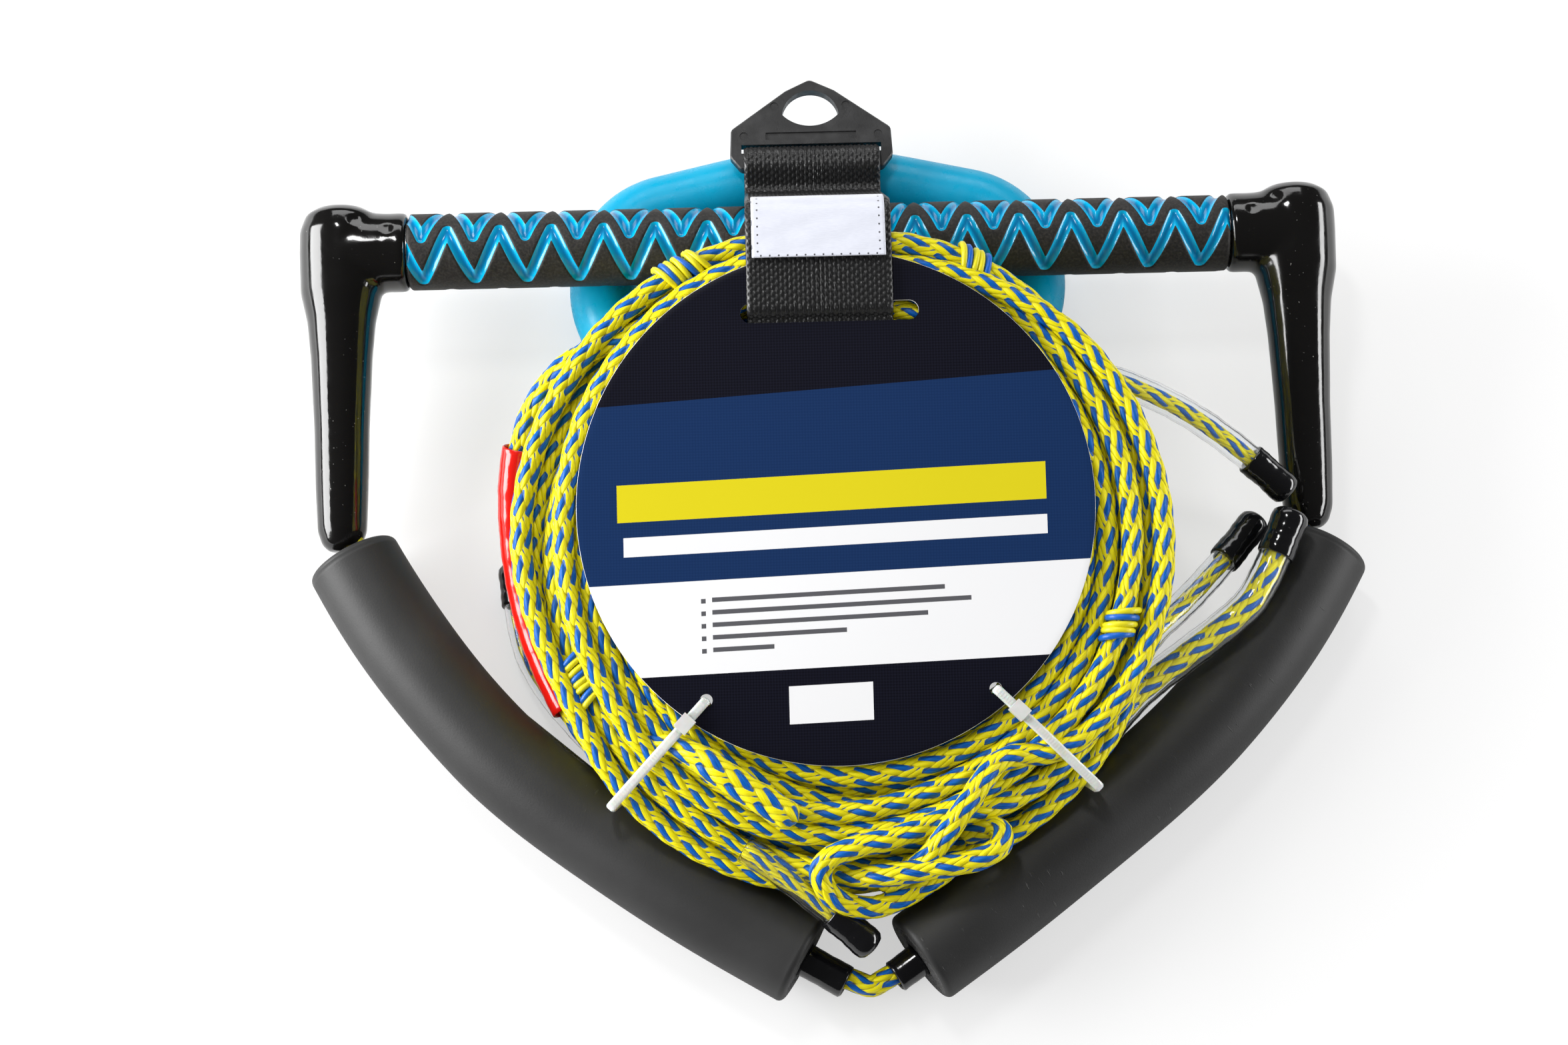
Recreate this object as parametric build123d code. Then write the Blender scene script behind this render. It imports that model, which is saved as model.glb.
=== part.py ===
"""Wakeboard tow handle with trick handle and coiled rope, strapped up as it is sold.

Millimetres, +Z up. The set lies on its back on a flat surface at Z = 0. The handle bar runs
along X. Everything is laid out from the middle of the bar and is moved once, at the end, so
that the origin is at the bottom centre of the set without its free rope.
"""

import math
import os

from build123d import *

os.makedirs("parts", exist_ok=True)

# ---- main handle
HANDLE_WIDTH = 381.0  # 15 in over the arm covers
TUBE_R = 11.1
TUBE_WALL = 1.8
GRIP_LENGTH = HANDLE_WIDTH - 81.0  # between the arm collars
GRIP_CORE_R = TUBE_R + 2.1
GRIP_SKIN_R = GRIP_CORE_R + 0.8
CORNER_R = GRIP_SKIN_R + 1.3
COLLAR_R = GRIP_SKIN_R + 0.6
COVER_WALL = 2.4
ARM_LENGTH = 111.0  # bar axis to arm tip
ARM_TIP_R = 8.7
ARM_SLOPE = 10.2  # degrees, from the bar down to the arm tips
PLUG_DEPTH = 40.0
RIVET_R = 2.0
ROPE_BORE_R = 4.3
KNOT_R = 7.2
KNOT_DOWN = 21.0  # bar axis to the stop knot's centre
KNOT_ROOM_R = 7.6
ARM_EXIT = 5.0  # the bridle runs straight this far past the arm tip
ARM_EXIT_BEND = 18.0
BRIDLE_R = 4.0

# ---- floats
FLOAT_R = 17.0
FLOAT_BORE_R = 6.2
FLOAT_MOUTH_R = 12.2
FLOAT_MOUTH_DEPTH = 32.0
END_TUBE_R = 5.8
END_TUBE_BORE_R = 4.2
END_TUBE_SEAT = 24.0
LEFT_END_TUBE_PROUD = 16.0
RIGHT_END_TUBE_PROUD = 10.0
LEFT_FLOAT_SEATS = ((3.4, -1.8, -1.2), (23.7, -39.8, -2.5))  # its first two points, from the arm's tip
RIGHT_FLOAT_SEATS = ((5.4, -5.8, -3.3), (-15.7, -43.3, -3.4))
LEFT_FLOAT_REST = ((-93.5, -212.0, 17.4), (-12.0, -260.5, 17.3))  # and round the coil to its lower end
RIGHT_FLOAT_REST = ((106.5, -206.5, 17.3), (27.5, -261.5, 17.3))

# ---- trick handle
TRICK_R = 13.0
TRICK_CORE_R = 7.0
TRICK_HALF_WIDTH = 83.0  # to the tube's centre line
TRICK_TOP_Y = 37.5
TRICK_CORNER_Y = 23.0
TRICK_EYE_Y = -98.0
TETHER_R = 4.0

# ---- coil of rope
COIL_CENTRE = (5.0, -122.0)
COIL_OUTER_R = 119.0
COIL_INNER_R = 72.0
COIL_HEIGHT = 46.0
COIL_CUT_R = 104.0  # outer radius at the coil's underside
COIL_CUT_HEIGHT = 38.0
COIL_SLOPE = 12.3 + 0.6 * (GRIP_SKIN_R - 14.0)  # degrees, up on to the bar
ROPE_R = 4.1
THIN_ROPE_R = 3.0

# ---- card and cable ties
CARD_R = 89.5
CARD_THICK = 1.2
CARD_ACROSS = -2.6  # from the coil's centre, across and up its face
CARD_UP = 14.2
CARD_SLOT_LENGTH = 62.0
CARD_SLOT_WIDTH = 7.0
CARD_SLOT_ACROSS = -3.0
CARD_SLOT_UP = 82.0
TIE_HOLE_R = 2.2
TIE_WIDTH = 3.4
TIE_THICK = 1.2
TIE_HEAD = (6.0, 5.0, 4.6)
TIE_ANGLES = (226.7, 315.1)  # round the coil, left and right
TIE_HEAD_R = 82.0
TIE_CARD_EDGE = 92.0
TIE_BEND = 2.0

# ---- strap and hanger
STRAP_WIDTH = 50.8  # 2 in webbing
STRAP_THICK = 1.8
STRAP_X = -1.2
LABEL_BELOW = 8.0  # from the strap's shoulder, down the climb and along the top
LABEL_ABOVE = 22.0
SHOULDER_BEND = 9.0
LABEL_WIDTH = 46.5
LABEL_THICK = 0.6
HANGER_THICK = 4.0
HANGER_BAR_Y = GRIP_SKIN_R + 22.5  # so that the strap climbs clear of the grip
HANGER_BAR_WIDTH = 6.6
HANGER_TURN_R = 4.0  # the room the bar needs to turn in the strap's loop
HANGER_WIDTH = 61.0
HANGER_TOP = 33.6  # from the bar's axis to the tip
HANGER_SHOULDER = (9.2, 29.0)
HANGER_CORNER = (30.0, 13.2)
HANGER_SLOT_TOP = 6.8
HANGER_EDGE = 3.6
EYE_HALF_WIDTH = 10.6
EYE_CENTRE = 19.0
EYE_RISE = 9.8
EYE_DROP = 4.8
PANEL_DEPTH = 0.6
PIN_MARK_R = 1.6

# ---- uncoiled rope at the section ends: tube, sleeve and rope sizes, and the routes
CLEAR_TUBE_R = 5.0
CLEAR_TUBE_WALL = 0.7
WIDE_TUBE_R = 5.9
SLEEVE_WALL = 0.8
SLEEVE_CAP = 2.0
SLEEVE_OVERLAP = 6.0
MARKER_TUBE_R = 5.8
MARKER_TUBE_WALL = 0.8
MARKER_END_BEND = 18.0  # of its rope where it leaves the tube

GAP = 0.3  # between soft pieces and their neighbours
FIT = 0.05  # between pieces that seat on each other

BAR_Z = 2 * TRICK_R + 0.4 + GRIP_SKIN_R
ARM_X = HANDLE_WIDTH / 2 - CORNER_R
nodes = {}
cord_nodes = set()


def unit(a, b):
    """The direction from point a to point b."""
    return (Vector(*b) - Vector(*a)).normalized()


def bend_radii(points, name=None, limits=None):
    """The largest even arc radius at each inner point: 0.45 of the shorter run over tan(turn / 2)."""
    radii = []
    for index, (before, here, after) in enumerate(zip(points, points[1:], points[2:]), 1):
        first = Vector(*here) - Vector(*before)
        second = Vector(*after) - Vector(*here)
        turn = math.radians(first.get_angle(second))
        largest = 0.45 * min(first.length, second.length) / math.tan(turn / 2)
        radii.append(min(largest, (limits or {}).get(index, largest)))
    if name:
        print(name, "bend radii", [round(r, 1) for r in radii])
    return radii


def route(points, name=None, limits=None):
    """Straight runs joined by tangent arcs, as one wire."""
    if len(points) == 2:
        return Wire([Line(*points)])
    return FilletPolyline(*points, radius=bend_radii(points, name, limits)).wire()


def rod(path, radius):
    """A round solid along a wire."""
    start = Plane(origin=path @ 0, z_dir=path % 0)
    return sweep(start * Circle(radius), path=path)


def pipe(path, outer, inner):
    """A round tube along a wire."""
    start = Plane(origin=path @ 0, z_dir=path % 0)
    return sweep(start * (Circle(outer) - Circle(inner)), path=path)


def check_cord(name, points, radius, limits=None):
    """Prints how the solid's volume compares with its section times its length."""
    path = route(points, name, limits)
    solid = rod(path, radius)
    share = solid.volume / (math.pi * radius**2 * path.length)
    print(name, "length", round(path.length, 1), "volume share", round(share, 4))
    return solid


def extended(points, index, start_more=0.0, end_more=0.0):
    """One run of a path, made longer or shorter at its ends, as two points."""
    a, b = Vector(*points[index]), Vector(*points[index + 1])
    along = (b - a).normalized()
    return tuple(a - along * start_more), tuple(b + along * end_more)


def keep(name, shape, cord=False):
    nodes[name] = shape
    if cord:
        cord_nodes.add(name)


def on_arm(side, down):
    """A point on an arm's axis, at a distance down from the bar's axis."""
    slope = math.radians(ARM_SLOPE)
    return (side * ARM_X, -down * math.cos(slope), BAR_Z - down * math.sin(slope))


def arm_disc(side, down, radius):
    """A round face across an arm."""
    x, y, z = on_arm(side, down)
    along = Vector(*on_arm(side, down + 1.0)) - Vector(x, y, z)
    return Plane(origin=(x, y, z), z_dir=along) * Circle(radius)


# ---- bar, grip
bar_half = ARM_X - 4.0
bar_tube = Pos(0, 0, BAR_Z) * Rot(0, 90, 0) * (
    Cylinder(TUBE_R, 2 * bar_half) - Cylinder(TUBE_R - TUBE_WALL, 2 * bar_half)
)
grip_core = Pos(0, 0, BAR_Z) * Rot(0, 90, 0) * (
    Cylinder(GRIP_CORE_R, GRIP_LENGTH) - Cylinder(TUBE_R + FIT, GRIP_LENGTH)
)
grip_skin = Pos(0, 0, BAR_Z) * Rot(0, 90, 0) * (
    Cylinder(GRIP_SKIN_R, GRIP_LENGTH) - Cylinder(GRIP_CORE_R + FIT, GRIP_LENGTH)
)


def arm_pieces(side):
    """One moulded elbow with its rubber cover, and the rope's way through it."""
    collar_start = GRIP_LENGTH / 2 + GAP
    plug_start = bar_half - PLUG_DEPTH
    tip = ARM_LENGTH - ARM_TIP_R
    tip_core_r = ARM_TIP_R - COVER_WALL
    collar = Pos(side * (collar_start + ARM_X) / 2, 0, BAR_Z) * Rot(0, 90, 0) * Cylinder(
        COLLAR_R, ARM_X - collar_start
    )
    outside = Pos(*on_arm(side, 0)) * Sphere(CORNER_R)
    outside += collar
    outside += loft([arm_disc(side, down, r) for down, r in (
        (0.0, CORNER_R - 0.8), (26.0, CORNER_R - 3.6), (60.0, ARM_TIP_R + 1.4), (tip, ARM_TIP_R)
    )])
    outside += Pos(*on_arm(side, tip)) * Sphere(ARM_TIP_R)
    plug = Pos(side * (plug_start + ARM_X) / 2, 0, BAR_Z) * Rot(0, 90, 0) * Cylinder(
        TUBE_R - TUBE_WALL - FIT, ARM_X - plug_start
    )
    core = Pos(*on_arm(side, 0)) * Sphere(CORNER_R - COVER_WALL)
    core += loft([arm_disc(side, down, r) for down, r in (
        (0.0, CORNER_R - COVER_WALL - 0.8), (26.0, CORNER_R - COVER_WALL - 3.6 + 0.6),
        (60.0, ARM_TIP_R - COVER_WALL + 1.2), (tip, tip_core_r)
    )])
    tube_room = Pos(side * (bar_half + collar_start) / 2, 0, BAR_Z) * Rot(0, 90, 0) * Cylinder(
        TUBE_R + FIT, bar_half - collar_start + 0.02
    )
    core -= tube_room
    core += plug
    rope_way = rod(Wire([Line(on_arm(side, KNOT_DOWN), on_arm(side, ARM_LENGTH + 2))]), ROPE_BORE_R)
    knot_room = Pos(*on_arm(side, KNOT_DOWN)) * Sphere(KNOT_ROOM_R)
    cover = outside - (core + tube_room) - rope_way - knot_room
    core = core - rope_way - knot_room
    rivets = [
        Pos(side * x, 0, BAR_Z) * (Cylinder(RIVET_R, 2 * TUBE_R) & Rot(0, 90, 0) * Cylinder(TUBE_R, 2 * TUBE_R))
        for x in (plug_start + 9.0, plug_start + 23.0)
    ]
    rivets = Compound(rivets)
    return core - rivets, cover, rivets


left_core, left_cover, left_rivets = arm_pieces(-1)
right_core, right_cover, right_rivets = arm_pieces(1)
rivets = Compound(list(left_rivets.solids()) + list(right_rivets.solids()))
keep("bar_tube", bar_tube - rivets)
keep("grip_core", grip_core - rivets)
keep("grip_skin", grip_skin)
keep("left_arm_core", left_core)
keep("right_arm_core", right_core)
keep("left_arm_cover", left_cover)
keep("right_arm_cover", right_cover)
keep("arm_rivets", rivets)


# ---- floats and their end tubes
def float_path(side, seats, rest):
    """From over an arm's tip round the coil to the float's lower end."""
    tip = Vector(*on_arm(side, ARM_LENGTH))
    return [tuple(tip + Vector(*seat)) for seat in seats] + list(rest)


def float_pieces(points, proud):
    """A foam tube with a wide mouth at its upper end and an end tube in its lower end."""
    path = route(points)
    body = rod(path, FLOAT_R)
    body -= rod(path, FLOAT_BORE_R)
    mouth = unit(points[0], points[1])
    start = Vector(*points[0])
    body -= rod(Wire([Line(start - mouth, start + mouth * FLOAT_MOUTH_DEPTH)]), FLOAT_MOUTH_R)
    out = unit(points[-2], points[-1])
    end = Vector(*points[-1])
    seat = Wire([Line(end - out * END_TUBE_SEAT, end + out * proud)])
    return body, pipe(seat, END_TUBE_R, END_TUBE_BORE_R)


left_line = float_path(-1, LEFT_FLOAT_SEATS, LEFT_FLOAT_REST)
right_line = float_path(1, RIGHT_FLOAT_SEATS, RIGHT_FLOAT_REST)
left_float, left_end_tube = float_pieces(left_line, LEFT_END_TUBE_PROUD)
right_float, right_end_tube = float_pieces(right_line, RIGHT_END_TUBE_PROUD)
keep("left_float", left_float)
keep("right_float", right_float)
keep("left_end_tube", left_end_tube)
keep("right_end_tube", right_end_tube)

# ---- bridle rope, held by the handle all the way
left_out = extended(left_line, 2, 0, LEFT_END_TUBE_PROUD + 4.5)[1]
right_out = extended(right_line, 2, 0, RIGHT_END_TUBE_PROUD + 4.0)[1]
bridle_points = [
    on_arm(-1, KNOT_DOWN), on_arm(-1, ARM_LENGTH + ARM_EXIT), *left_line[1:3], left_out,
    right_out, *reversed(right_line[1:3]), on_arm(1, ARM_LENGTH + ARM_EXIT), on_arm(1, KNOT_DOWN),
]
exit_bends = {1: ARM_EXIT_BEND, len(bridle_points) - 2: ARM_EXIT_BEND}
bridle = rod(route(bridle_points, "bridle_rope", exit_bends), BRIDLE_R)
knots = [Pos(*on_arm(side, KNOT_DOWN)) * Sphere(KNOT_R) for side in (-1, 1)]
keep("left_stop_knot", knots[0] - bridle)
keep("right_stop_knot", knots[1] - bridle)
keep("bridle_rope", bridle)

# ---- trick handle: a hoop with a bowed grip side and legs that meet at the rope
trick_points = [
    (TRICK_HALF_WIDTH, TRICK_CORNER_Y - 38.0, TRICK_R),
    (TRICK_HALF_WIDTH - 8.0, TRICK_CORNER_Y, TRICK_R),
    (0.0, TRICK_TOP_Y + 3.4, TRICK_R),
    (-TRICK_HALF_WIDTH + 8.0, TRICK_CORNER_Y, TRICK_R),
    (-TRICK_HALF_WIDTH, TRICK_CORNER_Y - 38.0, TRICK_R),
    (-14.0, TRICK_EYE_Y, TRICK_R),
    (14.0, TRICK_EYE_Y, TRICK_R),
]
around = [trick_points[-1], *trick_points, trick_points[0]]
hoop = FilletPolyline(*trick_points, radius=bend_radii(around), close=True).wire()
hoop_start = Plane(origin=hoop @ 0, z_dir=hoop % 0)
trick_core = sweep(hoop_start * Circle(TRICK_CORE_R), path=hoop)
trick_cover = sweep(hoop_start * (Circle(TRICK_R) - Circle(TRICK_CORE_R + FIT)), path=hoop)
tether_points = [
    (0.0, TRICK_EYE_Y + 3.0, TRICK_R), (0.0, TRICK_EYE_Y - 25.0, 12.0),
    (14.0, TRICK_EYE_Y - 53.0, 6.0), (33.0, TRICK_EYE_Y - 74.0, 10.0), (43.0, TRICK_EYE_Y - 87.0, 24.0),
]
tether_hole = rod(Wire([Line(tether_points[0], tether_points[1])]), ROPE_BORE_R)
keep("trick_handle_core", trick_core - tether_hole)
keep("trick_handle_cover", trick_cover - tether_hole)

# ---- coil: one closed ring, tilted from the floor up on to the bar
coil_slope = math.radians(COIL_SLOPE)
coil_low_z = 0.5 + COIL_CUT_R * math.sin(coil_slope)
coil_y = COIL_CENTRE[1] + COIL_HEIGHT / 2 * math.sin(coil_slope)
coil_place = Pos(COIL_CENTRE[0], coil_y, coil_low_z) * Rot(COIL_SLOPE, 0, 0)


def on_coil(across, up, height):
    """A point given across the coil's face, up its slope, and above its underside."""
    return (
        COIL_CENTRE[0] + across,
        coil_y + up * math.cos(coil_slope) - height * math.sin(coil_slope),
        coil_low_z + up * math.sin(coil_slope) + height * math.cos(coil_slope),
    )


section = Plane.XZ * make_face(Polyline(
    (COIL_INNER_R, 0), (COIL_CUT_R, 0), (COIL_OUTER_R, COIL_CUT_HEIGHT),
    (COIL_OUTER_R, COIL_HEIGHT), (COIL_INNER_R, COIL_HEIGHT), close=True,
))
section = fillet(section.vertices(), 5.0)
rope_coil = coil_place * revolve(section, Axis.Z)
keep("rope_coil", rope_coil, cord=True)
keep("trick_tether", check_cord("trick_tether", tether_points, TETHER_R) - rope_coil, cord=True)

# ---- card on the coil, with a slot for the strap and two holes for the ties
card_low = COIL_HEIGHT + 2 * GAP + STRAP_THICK
card_high = card_low + CARD_THICK
card = Pos(CARD_ACROSS, CARD_UP, card_low + CARD_THICK / 2) * Cylinder(CARD_R, CARD_THICK)
card -= Pos(CARD_SLOT_ACROSS, CARD_SLOT_UP, card_low + CARD_THICK / 2) * extrude(
    SlotOverall(CARD_SLOT_LENGTH, CARD_SLOT_WIDTH), CARD_THICK, both=True
)
tie_in_r = COIL_INNER_R - GAP - TIE_THICK / 2
for angle in TIE_ANGLES:
    across = tie_in_r * math.cos(math.radians(angle))
    up = tie_in_r * math.sin(math.radians(angle))
    card -= Pos(across, up, card_low) * Cylinder(TIE_HOLE_R, 4 * CARD_THICK)
keep("card", coil_place * card)

# ---- strap: out and round the hanger's bar, over the coil, through the card, back under the bar
half = STRAP_THICK / 2
hanger_z = 2 * TRICK_R + GAP + STRAP_THICK + GAP + HANGER_TURN_R
loop_r = HANGER_TURN_R + GAP + half
under_bar_z = BAR_Z - GRIP_SKIN_R - GAP - half


def coil_yz(up, height):
    return on_coil(0, up, height)[1:]


tuck_h = COIL_HEIGHT + GAP + half
over_h = card_high + GAP + half
strap_reach = STRAP_WIDTH / 2 + abs(STRAP_X - COIL_CENTRE[0])
inside_up = math.sqrt(COIL_INNER_R**2 - strap_reach**2) - GAP - half
outer_edge = COIL_OUTER_R + GAP + half
strap_yz = [
    (16.5, under_bar_z), (HANGER_BAR_Y - 9.5, hanger_z - loop_r),
    (HANGER_BAR_Y + loop_r, hanger_z - loop_r), (HANGER_BAR_Y + loop_r, hanger_z + loop_r),
    (HANGER_BAR_Y - 3.5, hanger_z + loop_r), (HANGER_BAR_Y - 12.0, hanger_z - loop_r + STRAP_THICK + GAP + 1.2),
    coil_yz(outer_edge + 1.0, COIL_HEIGHT + 3.0), coil_yz(COIL_OUTER_R - 8.0, over_h),
    coil_yz(CARD_SLOT_UP + 0.6, over_h), coil_yz(CARD_SLOT_UP - 1.2, tuck_h),
    coil_yz(inside_up, tuck_h), coil_yz(inside_up, -6.0), (-17.0, under_bar_z),
    (15.9, under_bar_z),
]
strap_bends = [3.0, loop_r - 0.05, loop_r - 0.05, 4.0, 4.0, SHOULDER_BEND, 3.0, 1.2, 1.2, 4.0, 12.0, 12.0]
strap_points = [(STRAP_X, y, z) for y, z in strap_yz]
strap_path = FilletPolyline(*strap_points, radius=strap_bends).wire()
strap_start = Plane(origin=strap_path @ 0, x_dir=(1, 0, 0), z_dir=strap_path % 0)
strap = sweep(strap_start * Rectangle(STRAP_WIDTH, STRAP_THICK), path=strap_path)
print("strap length", round(strap_path.length, 1),
      "volume share", round(strap.volume / (STRAP_WIDTH * STRAP_THICK * strap_path.length), 4))
keep("strap", strap)

# ---- sewn label, bent over the strap's shoulder
shoulder = Vector(*strap_points[6])
climb = (shoulder - Vector(*strap_points[5])).normalized()
level = (Vector(*strap_points[7]) - shoulder).normalized()
label_lift = half + GAP / 3 + LABEL_THICK / 2
turn_half = math.radians(climb.get_angle(level)) / 2
outward = (climb - level).normalized() * (label_lift / math.cos(turn_half))
label_corner = shoulder + outward
label_points = [
    tuple(label_corner - climb * LABEL_BELOW), tuple(label_corner),
    tuple(label_corner + level * LABEL_ABOVE),
]
label_path = FilletPolyline(*label_points, radius=SHOULDER_BEND + label_lift).wire()
label_start = Plane(origin=label_path @ 0, x_dir=(1, 0, 0), z_dir=label_path % 0)
keep("strap_label", sweep(label_start * Rectangle(LABEL_WIDTH, LABEL_THICK), path=label_path))

# ---- hanger: flat at rest, turning on its bar in the strap's loop
side_x, side_y = HANGER_CORNER
top_x, top_y = HANGER_SHOULDER
outline = Polyline(
    (-HANGER_WIDTH / 2 + 4.0, -HANGER_BAR_WIDTH / 2), (-HANGER_WIDTH / 2, 2.0), (-side_x, side_y),
    (-top_x, top_y), (0, HANGER_TOP), (top_x, top_y), (side_x, side_y), (HANGER_WIDTH / 2, 2.0),
    (HANGER_WIDTH / 2 - 4.0, -HANGER_BAR_WIDTH / 2), close=True,
)
plate = make_face(outline)
plate = fillet(plate.vertices(), 2.6)
eye = make_face([
    ThreePointArc((-EYE_HALF_WIDTH, EYE_CENTRE), (0, EYE_CENTRE + EYE_RISE), (EYE_HALF_WIDTH, EYE_CENTRE)),
    ThreePointArc((EYE_HALF_WIDTH, EYE_CENTRE), (0, EYE_CENTRE - EYE_DROP), (-EYE_HALF_WIDTH, EYE_CENTRE)),
])
slot_half = HANGER_WIDTH / 2 - HANGER_EDGE - 0.7
slot = Pos(0, (HANGER_BAR_WIDTH / 2 + HANGER_SLOT_TOP) / 2) * Rectangle(
    2 * slot_half, HANGER_SLOT_TOP - HANGER_BAR_WIDTH / 2
)
hanger = extrude(plate, HANGER_THICK / 2, both=True)
rims = hanger.faces().sort_by(Axis.Z)[0].edges() + hanger.faces().sort_by(Axis.Z)[-1].edges()
hanger = chamfer(rims, 0.5)
hanger -= extrude(eye + slot, HANGER_THICK, both=True)
panel = Pos(0, 10.2, HANGER_THICK / 2) * Box(34.0, 3.0, 2 * PANEL_DEPTH)
marks = [
    Pos(side * x, y, HANGER_THICK / 2) * Cylinder(PIN_MARK_R, PANEL_DEPTH)
    for side in (-1, 1) for x, y in ((25.2, 10.4), (13.5, 22.6))
]
hanger = Pos(STRAP_X, HANGER_BAR_Y, hanger_z) * (hanger - panel - marks)
keep("hanger", hanger)

# ---- cable ties: a band round the rope and through the card, with its locking head
tie_out = GAP + TIE_THICK / 2
tie_loop = [
    (COIL_INNER_R - tie_out, -tie_out), (COIL_CUT_R + 1.5, -tie_out),
    (COIL_OUTER_R + tie_out + 0.3, COIL_CUT_HEIGHT), (COIL_OUTER_R + tie_out + 0.3, COIL_HEIGHT + tie_out),
    (TIE_CARD_EDGE, card_high + tie_out), (COIL_INNER_R - tie_out, card_high + tie_out),
]
for side, angle in zip(("left", "right"), TIE_ANGLES):
    spin = coil_place * Rot(0, 0, angle)
    band_path = FilletPolyline(*[(r, 0, h) for r, h in tie_loop], radius=TIE_BEND, close=True).wire()
    band_start = Plane(origin=band_path @ 0, x_dir=(0, 1, 0), z_dir=band_path % 0)
    band = sweep(band_start * Rectangle(TIE_WIDTH, TIE_THICK), path=band_path)
    head = Pos(TIE_HEAD_R, 0, card_high + tie_out) * (
        Box(*TIE_HEAD) - Box(TIE_HEAD[0] + 1, TIE_WIDTH + 2 * FIT, TIE_THICK + 2 * FIT)
    )
    head = Pos(0, 0, TIE_HEAD[2] / 2 - TIE_THICK / 2 - GAP) * head
    head -= Pos(TIE_HEAD_R, 0, card_high + tie_out) * Box(TIE_HEAD[0] + 1, TIE_WIDTH + 2 * FIT, TIE_THICK + 2 * FIT)
    keep(f"{side}_tie_band", spin * band)
    keep(f"{side}_tie_head", spin * head)

# ---- uncoiled rope: each route runs from the sleeve's closed end to the coil
ROUTES = {
    "a": ((165.7, -102.0, 40.0), (141.0, -80.5, 50.0), (104.0, -66.0, 66.0)),
    "b": ((155.4, -107.4, 29.0), (131.8, -135.9, 34.0), (107.0, -157.0, 43.0)),
    "c": ((165.5, -109.5, 43.5), (153.0, -138.5, 41.0), (140.5, -149.0, 38.0), (126.0, -158.5, 33.5),
          (103.0, -174.5, 30.0)),
    "d": ((11.5, -259.5, 29.0), (-16.5, -235.0, 40.0)),
    "e": ((-114.5, -111.0, 8.0), (-112.5, -138.0, 8.0), (-103.0, -158.0, 8.0), (-90.0, -174.0, 8.5),
          (-77.0, -189.0, 15.0)),
}
SLEEVE_LENGTHS = {"a": 19.5, "b": 22.0, "c": 18.0, "d": 19.0, "e": 16.0}
for letter, points in ROUTES.items():
    wide = letter == "c"
    rope_r = ROPE_R if wide else THIN_ROPE_R
    tube_r = WIDE_TUBE_R if wide else CLEAR_TUBE_R
    sleeve_length = SLEEVE_LENGTHS[letter]
    out = unit(points[0], points[1])
    end = Vector(*points[0])
    rope_points = [tuple(end + out * (SLEEVE_CAP + FIT)), *points[1:]]
    rope = check_cord(f"rope_{letter}", rope_points, rope_r)
    tube_points = [tuple(end + out * (sleeve_length - SLEEVE_OVERLAP + FIT)), *points[1:]]
    inside = rod(route(tube_points), tube_r - CLEAR_TUBE_WALL)
    tube = rod(route(tube_points), tube_r) - inside
    mouth = end + out * sleeve_length
    sleeve = rod(Wire([Line(end, mouth)]), tube_r + SLEEVE_WALL)
    sleeve -= rod(Wire([Line(end + out * SLEEVE_CAP, mouth)]), rope_r + FIT)
    sleeve -= rod(Wire([Line(mouth - out * SLEEVE_OVERLAP, mouth)]), tube_r + FIT)
    keep(f"rope_{letter}", rope - rope_coil, cord=True)
    keep(f"clear_tube_{letter}", tube - rope_coil, cord=True)
    keep(f"sleeve_{letter}", sleeve, cord=True)

marker_points = [(-94.0, -58.0, 72.0), (-111.5, -84.0, 56.0), (-110.5, -130.0, 28.0),
                 (-94.5, -171.0, 21.0), (-79.0, -191.0, 24.0)]
marker_rope = check_cord("marker_rope", marker_points, THIN_ROPE_R, {1: MARKER_END_BEND, 3: MARKER_END_BEND})
marker_tube = rod(route(marker_points[1:4]), MARKER_TUBE_R)
marker_tube -= rod(route(marker_points[1:4]), MARKER_TUBE_R - MARKER_TUBE_WALL)
keep("marker_rope", marker_rope - rope_coil, cord=True)
keep("marker_tube", marker_tube - rope_coil, cord=True)

# ---- the origin: the bottom centre of everything but the free rope
held = Compound([shape for name, shape in nodes.items() if name not in cord_nodes]).bounding_box()
middle = held.center()
print("row frame: the bar's middle is at", round(-middle.X, 3), round(-middle.Y, 3), round(BAR_Z, 3))
print("hanger bar at", round(STRAP_X - middle.X, 3), round(HANGER_BAR_Y - middle.Y, 3), round(hanger_z, 3))
for name, shape in nodes.items():
    export_step(Pos(-middle.X, -middle.Y, 0) * shape, f"parts/{name}.step")
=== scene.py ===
"""Wakeboard tow handle, strapped up with its trick handle and coiled rope: the looks, round the CAD frame.

The frame is in metres. Sizes and routes below are in millimetres, counted from the middle of the
handle bar at floor level as in the CAD source, and to_row() brings them into the frame.
"""

import math

import bmesh
import bpy
import numpy as np
from mathutils import Matrix, Vector


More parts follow.
